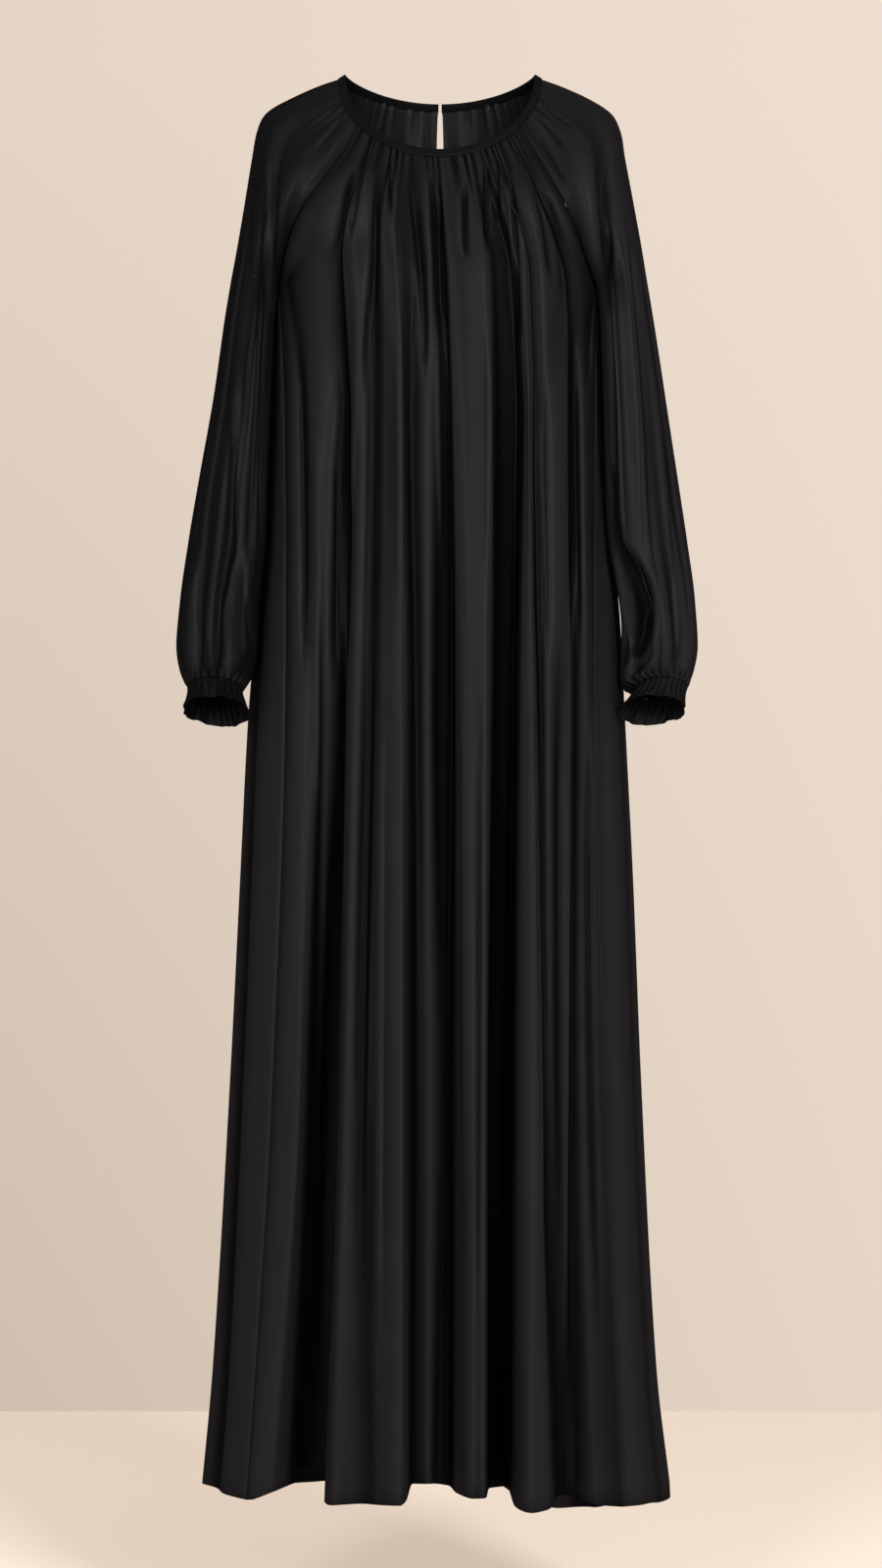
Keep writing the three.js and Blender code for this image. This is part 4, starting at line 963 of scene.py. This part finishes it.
def makeMesh(name, grid, skip=lambda row, column: False, paintedShadeRelief=1, level=0.5):
    # a cloth piece from a grid of points: one sheet with its doubles merged and its faces pointing out. The
    # relief and the level set how strong and how light its painted fold shade is
    rows, columns = grid.shape[:2]
    mesh = bpy.data.meshes.new(name)
    index = np.arange(rows * columns).reshape(rows, columns)
    faces = [
        (index[r, c], index[r + 1, c], index[r + 1, c + 1], index[r, c + 1])
        for r in range(rows - 1)
        for c in range(columns - 1)
        if not skip(r, c)
    ]
    mesh.from_pydata((grid.reshape(-1, 3) / 1000).tolist(), [], faces)
    work = bmesh.new()
    work.from_mesh(mesh)
    # the crest attribute carries the painted fold shade: low in the valleys, high on the crests
    layer = work.verts.layers.float.new("crest")
    for vertex, value in zip(work.verts, paintedFoldShade(grid, paintedShadeRelief, level).ravel().tolist()):
        vertex[layer] = value
    bmesh.ops.remove_doubles(work, verts=work.verts, dist=2e-5)
    loose = [v for v in work.verts if not v.link_faces]
    bmesh.ops.delete(work, geom=loose, context="VERTS")
    bmesh.ops.recalc_face_normals(work, faces=work.faces)
    centre = sum((v.co for v in work.verts), Vector()) / len(work.verts)
    if name in ("front_cloth", "back_cloth"):
        centre = Vector((0, 0, centre.z))
    outward = sum(f.normal.dot(f.calc_center_median() - centre) * f.calc_area() for f in work.faces)
    if outward < 0:
        bmesh.ops.reverse_faces(work, faces=work.faces)
    work.to_mesh(mesh)
    work.free()
    mesh.shade_smooth()
    return addObject(name, mesh)


def thicken(piece, thickness):
    wall = piece.modifiers.new("cloth thickness", "SOLIDIFY")
    wall.thickness = thickness / 1000
    wall.offset = -1
    wall.use_rim = True


def addNode(tree, kind, inputs=None, **settings):
    # one node with its settings, and its inputs set or linked by name or number
    node = tree.nodes.new(kind)
    for key, value in settings.items():
        setattr(node, key, value)
    for key, value in (inputs or {}).items():
        if isinstance(value, bpy.types.NodeSocket):
            tree.links.new(value, node.inputs[key])
        else:
            node.inputs[key].default_value = value
    return node


def linear(hexColour):
    parts = [int(hexColour[i : i + 2], 16) / 255 for i in (1, 3, 5)]
    return tuple(p / 12.92 if p <= 0.04045 else ((p + 0.055) / 1.055) ** 2.4 for p in parts) + (1,)


def addNoise(tree, place, sizeMm, detail, roughness):
    # a noise whose patches are about sizeMm across
    inputs = {"Vector": place, "Scale": 1000 / sizeMm, "Detail": detail, "Roughness": roughness}
    return addNode(tree, "ShaderNodeTexNoise", inputs).outputs["Fac"]


def crepeMaterial(name):
    # soft polyester crepe: near black, with a matt pebbled grain and a low broad gloss. Its colour goes by
    # the crest attribute, as painted shade in the folds' valleys and a painted highlight on their crests
    *paintedShades, roughness = crepe[name]
    material = bpy.data.materials.new(name)
    material.use_nodes = True
    tree = material.node_tree
    tree.nodes.clear()
    place = addNode(tree, "ShaderNodeTexCoord").outputs["Object"]
    mottle = addNoise(tree, place, crepe["mottleMm"], 2.0, 0.5)
    high = addNode(tree, "ShaderNodeAttribute", attribute_name="crest").outputs["Fac"]
    spread = {0: mottle, 1: crepe["mottle"], 2: -crepe["mottle"] / 2}
    uneven = addNode(tree, "ShaderNodeMath", spread, operation="MULTIPLY_ADD")
    shade = addNode(tree, "ShaderNodeMath", {0: high, 1: uneven.outputs[0]}, operation="ADD")
    # the ramp paints shade into the valleys and a highlight onto the crests, by the crest attribute
    ramp = addNode(tree, "ShaderNodeValToRGB", {"Fac": shade.outputs[0]})
    stops = ramp.color_ramp.elements
    stops.new(0.5)
    for stop, position, colour in zip(stops, crepe["shadeStops"], paintedShades):
        stop.position, stop.color = position, linear(colour)
    grain = addNoise(tree, place, crepe["grainMm"], 3.0, 0.6)
    raised = {"Height": grain, "Strength": crepe["grainStrength"], "Distance": crepe["grainDepth"]}
    bump = addNode(tree, "ShaderNodeBump", raised).outputs["Normal"]
    matt = {"Base Color": ramp.outputs["Color"], "Normal": bump}
    matt |= {"Roughness": roughness, "Specular IOR Level": 0.0}
    shader = addNode(tree, "ShaderNodeBsdfPrincipled", matt)
    gloss = addNode(tree, "ShaderNodeBsdfGlossy", {"Roughness": crepe["glossRoughness"], "Normal": bump})
    shares = {0: crepe["gloss"], 1: shader.outputs[0], 2: gloss.outputs[0]}
    both = addNode(tree, "ShaderNodeMixShader", shares)
    addNode(tree, "ShaderNodeOutputMaterial", {"Surface": both.outputs["Shader"]})
    return material


crepeCloth = crepeMaterial("black crepe")
biasCrepe = crepeMaterial("folded bias crepe")
insideCrepe = crepeMaterial("crepe wrong side")

frontPoints = frontGrid()
front = makeMesh("front_cloth", frontPoints)
backPoints, slitColumn = backGrid()
slitRow = int(np.searchsorted(raglanShares, slit["end"]))
back = makeMesh("back_cloth", backPoints, lambda row, column: column == slitColumn and row < slitRow)
sleeveLeftPoints, sleeveRightPoints = sleeveGrid(1), sleeveGrid(-1)
# the sleeves get a weaker painted fold shade and are painted lighter overall: a painted highlight for the
# light on them
sleeveLeft = makeMesh("sleeve_left_cloth", sleeveLeftPoints, paintedShadeRelief=0.6, level=0.68)
sleeveRight = makeMesh("sleeve_right_cloth", sleeveRightPoints, paintedShadeRelief=0.6, level=0.68)
cuffLeftPoints, cuffRightPoints = cuffGrid(1), cuffGrid(-1)
cuffLeft = makeMesh("cuff_left_cloth", cuffLeftPoints, paintedShadeRelief=0.5)
cuffRight = makeMesh("cuff_right_cloth", cuffRightPoints, paintedShadeRelief=0.5)
print("cloth pieces made")


def bindingMesh():
    # a rounded strip swept round the neck from one side of the slit to the other
    edge = neckDegrees(neckBinding["endGap"])
    angle = np.linspace(-180 + edge, 180 - edge, neckBinding["steps"] + 1)
    down, out = bindingWays(angle)
    middle = neckTop(angle) + down * neckBinding["height"] / 2
    turn = np.linspace(0, 2 * np.pi, neckBinding["sides"], endpoint=False)
    across = np.sign(np.cos(turn)) * np.abs(np.cos(turn)) ** neckBinding["roundness"] / 2
    up = np.sign(np.sin(turn)) * np.abs(np.sin(turn)) ** neckBinding["roundness"] / 2
    around = np.radians(angle)
    drift = neckBinding["rippleDrift"] * np.sin(around * 5)
    ripple = 1 + neckBinding["pucker"] * np.sin(around * neckBinding["ripples"] + drift)
    swell = (ripple[:, None] - 1) * np.clip(0.5 + up, 0, 1) * 0.5 + 1
    ring = (
        middle[:, None]
        + out[:, None] * (across * neckBinding["thickness"] * swell)[..., None]
        + down[:, None] * (up * neckBinding["height"])[None, :, None]
    )
    steps, sides = ring.shape[:2]
    index = np.arange(steps * sides).reshape(steps, sides)
    faces = [
        (index[i, j], index[i + 1, j], index[i + 1, (j + 1) % sides], index[i, (j + 1) % sides])
        for i in range(steps - 1)
        for j in range(sides)
    ]
    faces += [tuple(index[0]), tuple(index[-1][::-1])]
    mesh = bpy.data.meshes.new("neck_binding_cloth")
    mesh.from_pydata((ring.reshape(-1, 3) / 1000).tolist(), [], faces)
    work = bmesh.new()
    work.from_mesh(mesh)
    bmesh.ops.recalc_face_normals(work, faces=work.faces)
    work.to_mesh(mesh)
    work.free()
    mesh.shade_smooth()
    return addObject("neck_binding_cloth", mesh)


binding = bindingMesh()
print("neck binding made")

stitching = {
    "pitch": 0.003,  # metres, as the paths are
    "length": 0.0024,
    "width": 0.00045,
    "shortest": 0.85,  # the shortest stitch's share of the length
    "hemAbove": 12,
    "rimAbove": 4,
    "casingRows": [0.06, 0.32],  # shares of the cuff's length
    "bindingUp": 1.8,  # from the strip's lower edge
    "bindingEnd": 1,  # from the strip's ends
    "bindingSteps": 400,
    "slitColumns": [-3, 4],  # fine columns from the slit's middle pair
    "slitFirstRow": 3,
}


def stitchTree():
    # a run of stitches along a path: small threads laid end to end, each turned to the path
    tree = bpy.data.node_groups.new("stitches", "GeometryNodeTree")
    sockets = {}
    kinds = {"Geometry": ["Path"], "Float": ["Pitch", "Length", "Width", "Shortest"], "Int": ["Seed"]}
    kinds["Material"] = ["Thread"]
    for kind, names in kinds.items():
        for name in names:
            socket = tree.interface.new_socket(name, in_out="INPUT", socket_type="NodeSocket" + kind)
            sockets[name] = socket.identifier
    tree.interface.new_socket("Stitches", in_out="OUTPUT", socket_type="NodeSocketGeometry")
    given = addNode(tree, "NodeGroupInput").outputs
    path = addNode(tree, "GeometryNodeMeshToCurve", {"Mesh": given["Path"]})
    spaced = {"Curve": path.outputs[0], "Length": given["Pitch"]}
    spots = addNode(tree, "GeometryNodeCurveToPoints", spaced, mode="LENGTH")
    thread = addNode(tree, "GeometryNodeMeshUVSphere", {"Segments": 6, "Rings": 4, "Radius": 0.5})
    uneven = addNode(tree, "FunctionNodeRandomValue", {2: given["Shortest"], 3: 1.0, "Seed": given["Seed"]})
    length = addNode(tree, "ShaderNodeMath", {0: given["Length"], 1: uneven.outputs[1]}, operation="MULTIPLY")
    thick = given["Width"]
    size = addNode(tree, "ShaderNodeCombineXYZ", {"X": thick, "Y": thick, "Z": length.outputs[0]})
    each = {
        "Points": spots.outputs["Points"],
        "Instance": thread.outputs["Mesh"],
        "Rotation": spots.outputs["Rotation"],
        "Scale": size.outputs["Vector"],
    }
    laid = addNode(tree, "GeometryNodeInstanceOnPoints", each)
    real = addNode(tree, "GeometryNodeRealizeInstances", {"Geometry": laid.outputs["Instances"]})
    finish = {"Geometry": real.outputs["Geometry"], "Material": given["Thread"]}
    coloured = addNode(tree, "GeometryNodeSetMaterial", finish)
    end = tree.nodes.new("NodeGroupOutput")
    tree.links.new(coloured.outputs["Geometry"], end.inputs["Stitches"])
    return tree, sockets


threadTree, threadSockets = stitchTree()
blackThread = crepeMaterial("black sewing thread")


def stitches(name, lines, seed):
    # plain stitches along one or more lines of points in millimetres
    mesh = bpy.data.meshes.new(name + "_path")
    vertices, edges = [], []
    for line in lines:
        first = len(vertices)
        vertices += (np.asarray(line) / 1000).tolist()
        edges += [(i, i + 1) for i in range(first, len(vertices) - 1)]
    mesh.from_pydata(vertices, edges, [])
    path = addObject(name + "_path", mesh)
    run = path.modifiers.new("stitches", "NODES")
    run.node_group = threadTree
    for key in ("pitch", "length", "width", "shortest"):
        run[threadSockets[key.capitalize()]] = stitching[key]
    run[threadSockets["Seed"]], run[threadSockets["Thread"]] = seed, blackThread
    depsgraph = bpy.context.evaluated_depsgraph_get()
    made = bpy.data.meshes.new_from_object(path.evaluated_get(depsgraph))
    made.name = name
    path.modifiers.remove(run)
    bpy.data.objects.remove(path)
    piece = addObject(name, made)
    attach(piece, "root")
    return piece


def lineAbove(grid, distance, inset=0):
    # the line on a grid at a distance along its columns from its last row
    fromEnd = np.cumsum(np.linalg.norm(np.diff(grid[::-1], axis=0), axis=-1), axis=0)
    row = np.argmax(fromEnd > distance, axis=0)
    columns = np.arange(grid.shape[1])
    before = np.where(row > 0, fromEnd[row - 1, columns], 0)
    t = ((distance - before) / (fromEnd[row, columns] - before))[:, None]
    upward = grid[::-1]
    return (upward[row, columns] * (1 - t) + upward[row + 1, columns] * t)[inset : grid.shape[1] - inset]


frontStitches = stitches("front_hem_stitches", [lineAbove(frontPoints, stitching["hemAbove"], 1)], 1)
backStitches = stitches("back_hem_stitches", [lineAbove(backPoints, stitching["hemAbove"], 1)], 2)
cuffStitches = {}
for side, name, grid in (
    (1, "cuff_left_stitches", cuffLeftPoints),
    (-1, "cuff_right_stitches", cuffRightPoints),
):
    rows = [grid[round(share * sleeve["cuffRows"])] for share in stitching["casingRows"]]
    cuffStitches[side] = stitches(name, [*rows, lineAbove(grid, stitching["rimAbove"])], 3)
stripEdge = neckDegrees(neckBinding["endGap"] + stitching["bindingEnd"])
stripAngles = np.linspace(-180 + stripEdge, 180 - stripEdge, stitching["bindingSteps"])
stripDown, stripOut = bindingWays(stripAngles)
bindingLine = neckTop(stripAngles) + stripDown * (neckBinding["height"] - stitching["bindingUp"])
bindingLine = bindingLine + stripOut * neckBinding["thickness"] / 2
bindingStitches = stitches("binding_stitches", [bindingLine], 4)
slitRows = slice(stitching["slitFirstRow"], slitRow + 1)
slitLines = [backPoints[slitRows, slitColumn + aside] for aside in stitching["slitColumns"]]
slitStitches = stitches("slit_stitches", slitLines, 5)
print("stitches laid")

# Each piece takes its crepe, the cloth pieces their thickness; all hang from the root and hide the frame's
# part that they replace
for piece, node, cut, sewn in (
    (front, "front", "front", [frontStitches]),
    (back, "back", "back", [backStitches, slitStitches]),
    (sleeveLeft, "sleeve_left", "sleeve", []),
    (sleeveRight, "sleeve_right", "sleeve", []),
    (cuffLeft, "cuff_left", "cuff", [cuffStitches[1]]),
    (cuffRight, "cuff_right", "cuff", [cuffStitches[-1]]),
    (binding, "neck_binding", "binding", [bindingStitches]),
):
    piece.data.materials.append(biasCrepe if piece is binding else crepeCloth)
    if piece is not binding:
        thicken(piece, robe["clothThickness"])
    if piece in (front, back):
        # the inner shell gets the wrong side's crepe: paler, partly painted light, with its painted fold
        # shade swapped
        piece.data.materials.append(insideCrepe)
        piece.modifiers["cloth thickness"].material_offset = 1
    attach(piece, "root")
    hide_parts(node)
print("pieces finished")

studio = {
    "floorDrop": 0.11,  # below the hem, which hangs clear as the shoulders carry it
    # the backdrop is painted darker to the left and towards the floor: painted shade for the light's fall-off
    # and the robe's soft shadow on the wall
    "wallHigh": ["#e4d4c6", "#efdfd2"],  # to the left and to the right
    "wallLow": ["#cebdad", "#e6d6c7"],
    "floorColour": "#efe8e0",
    "horizonPx": 640,  # how far below the picture's middle the floor's far edge shows
    "wallHalfWidth": 0.13,  # of the view direction's x, over which the wall's painted shade changes
    "wallTop": 0.19,  # and of its z
    "wallFoot": -0.17,
    "background": 1.0,
    "floorReach": 6,
    "floorRoughness": 0.9,
    "sensorWidth": 36,
    "lens": 85.5,  # makes 1 px of the picture 1 mm at the origin
    "cameraPlace": (0.001, -3.8, -0.723),
}
lights = [
    # name, place, what it is aimed at, width and height, watts and colour
    ("key", (1.5, -3.5, 0.5), (0, 0, -0.75), (0.8, 1.8), 140, "#fffcf8"),
    ("fill", (-1.3, -3.6, 0.1), (0, 0, -0.8), (0.8, 2.0), 85, "#fcfdff"),
]

cameraData = bpy.data.cameras.new("camera")
cameraData.sensor_width = studio["sensorWidth"]
cameraData.lens = studio["lens"]
camera = addObject("camera", cameraData)
camera.location = studio["cameraPlace"]
camera.rotation_euler = (math.radians(90), 0, 0)
bpy.context.scene.camera = camera

# The floor ends where the picture shows its far edge
_, cameraY, cameraZ = studio["cameraPlace"]
floorZ = cadBox[0][2] - studio["floorDrop"]
floorBack = (cameraZ - floorZ) * -cameraY * 1000 / studio["horizonPx"] + cameraY
reach = studio["floorReach"]
floorCorners = [(-reach, -reach), (reach, -reach), (reach, floorBack), (-reach, floorBack)]
floorMesh = bpy.data.meshes.new("floor")
floorMesh.from_pydata([(x, y, floorZ) for x, y in floorCorners], [], [(0, 1, 2, 3)])
floor = addObject("floor", floorMesh)
plaster = bpy.data.materials.new("pale plaster")
plaster.use_nodes = True
plain = plaster.node_tree.nodes["Principled BSDF"].inputs
plain["Base Color"].default_value = linear(studio["floorColour"])
plain["Roughness"].default_value = studio["floorRoughness"]
floorMesh.materials.append(plaster)

world = bpy.data.worlds.new("studio")
world.use_nodes = True
sky = world.node_tree
around = addNode(sky, "ShaderNodeTexCoord").outputs["Generated"]
way = addNode(sky, "ShaderNodeSeparateXYZ", {"Vector": around}).outputs
edge = studio["wallHalfWidth"]
across = addNode(sky, "ShaderNodeMapRange", {"Value": way["X"], 1: -edge, 2: edge}).outputs["Result"]
downward = {"Value": way["Z"], 1: studio["wallTop"], 2: studio["wallFoot"]}
low = addNode(sky, "ShaderNodeMapRange", downward).outputs["Result"]


def mixed(share, first, second):
    # two colours, or two colour outputs, mixed by a share
    return addNode(sky, "ShaderNodeMix", {0: share, 6: first, 7: second}, data_type="RGBA").outputs[2]


# the backdrop's painted shade: darker to the left and lower down
bands = [mixed(across, *map(linear, studio[name])) for name in ("wallHigh", "wallLow")]
sky.links.new(mixed(low, *bands), sky.nodes["Background"].inputs["Color"])
sky.nodes["Background"].inputs["Strength"].default_value = studio["background"]
bpy.context.scene.world = world
bpy.context.scene.view_settings.view_transform = "Standard"

for name, place, aim, size, power, colour in lights:
    data = bpy.data.lights.new(name, "AREA")
    data.shape = "RECTANGLE"
    data.size, data.size_y = size
    data.energy = power
    data.color = linear(colour)[:3]
    lamp = addObject(name, data)
    lamp.location = place
    lamp.rotation_euler = (Vector(aim) - Vector(place)).to_track_quat("-Z", "Y").to_euler()
print("studio set up")
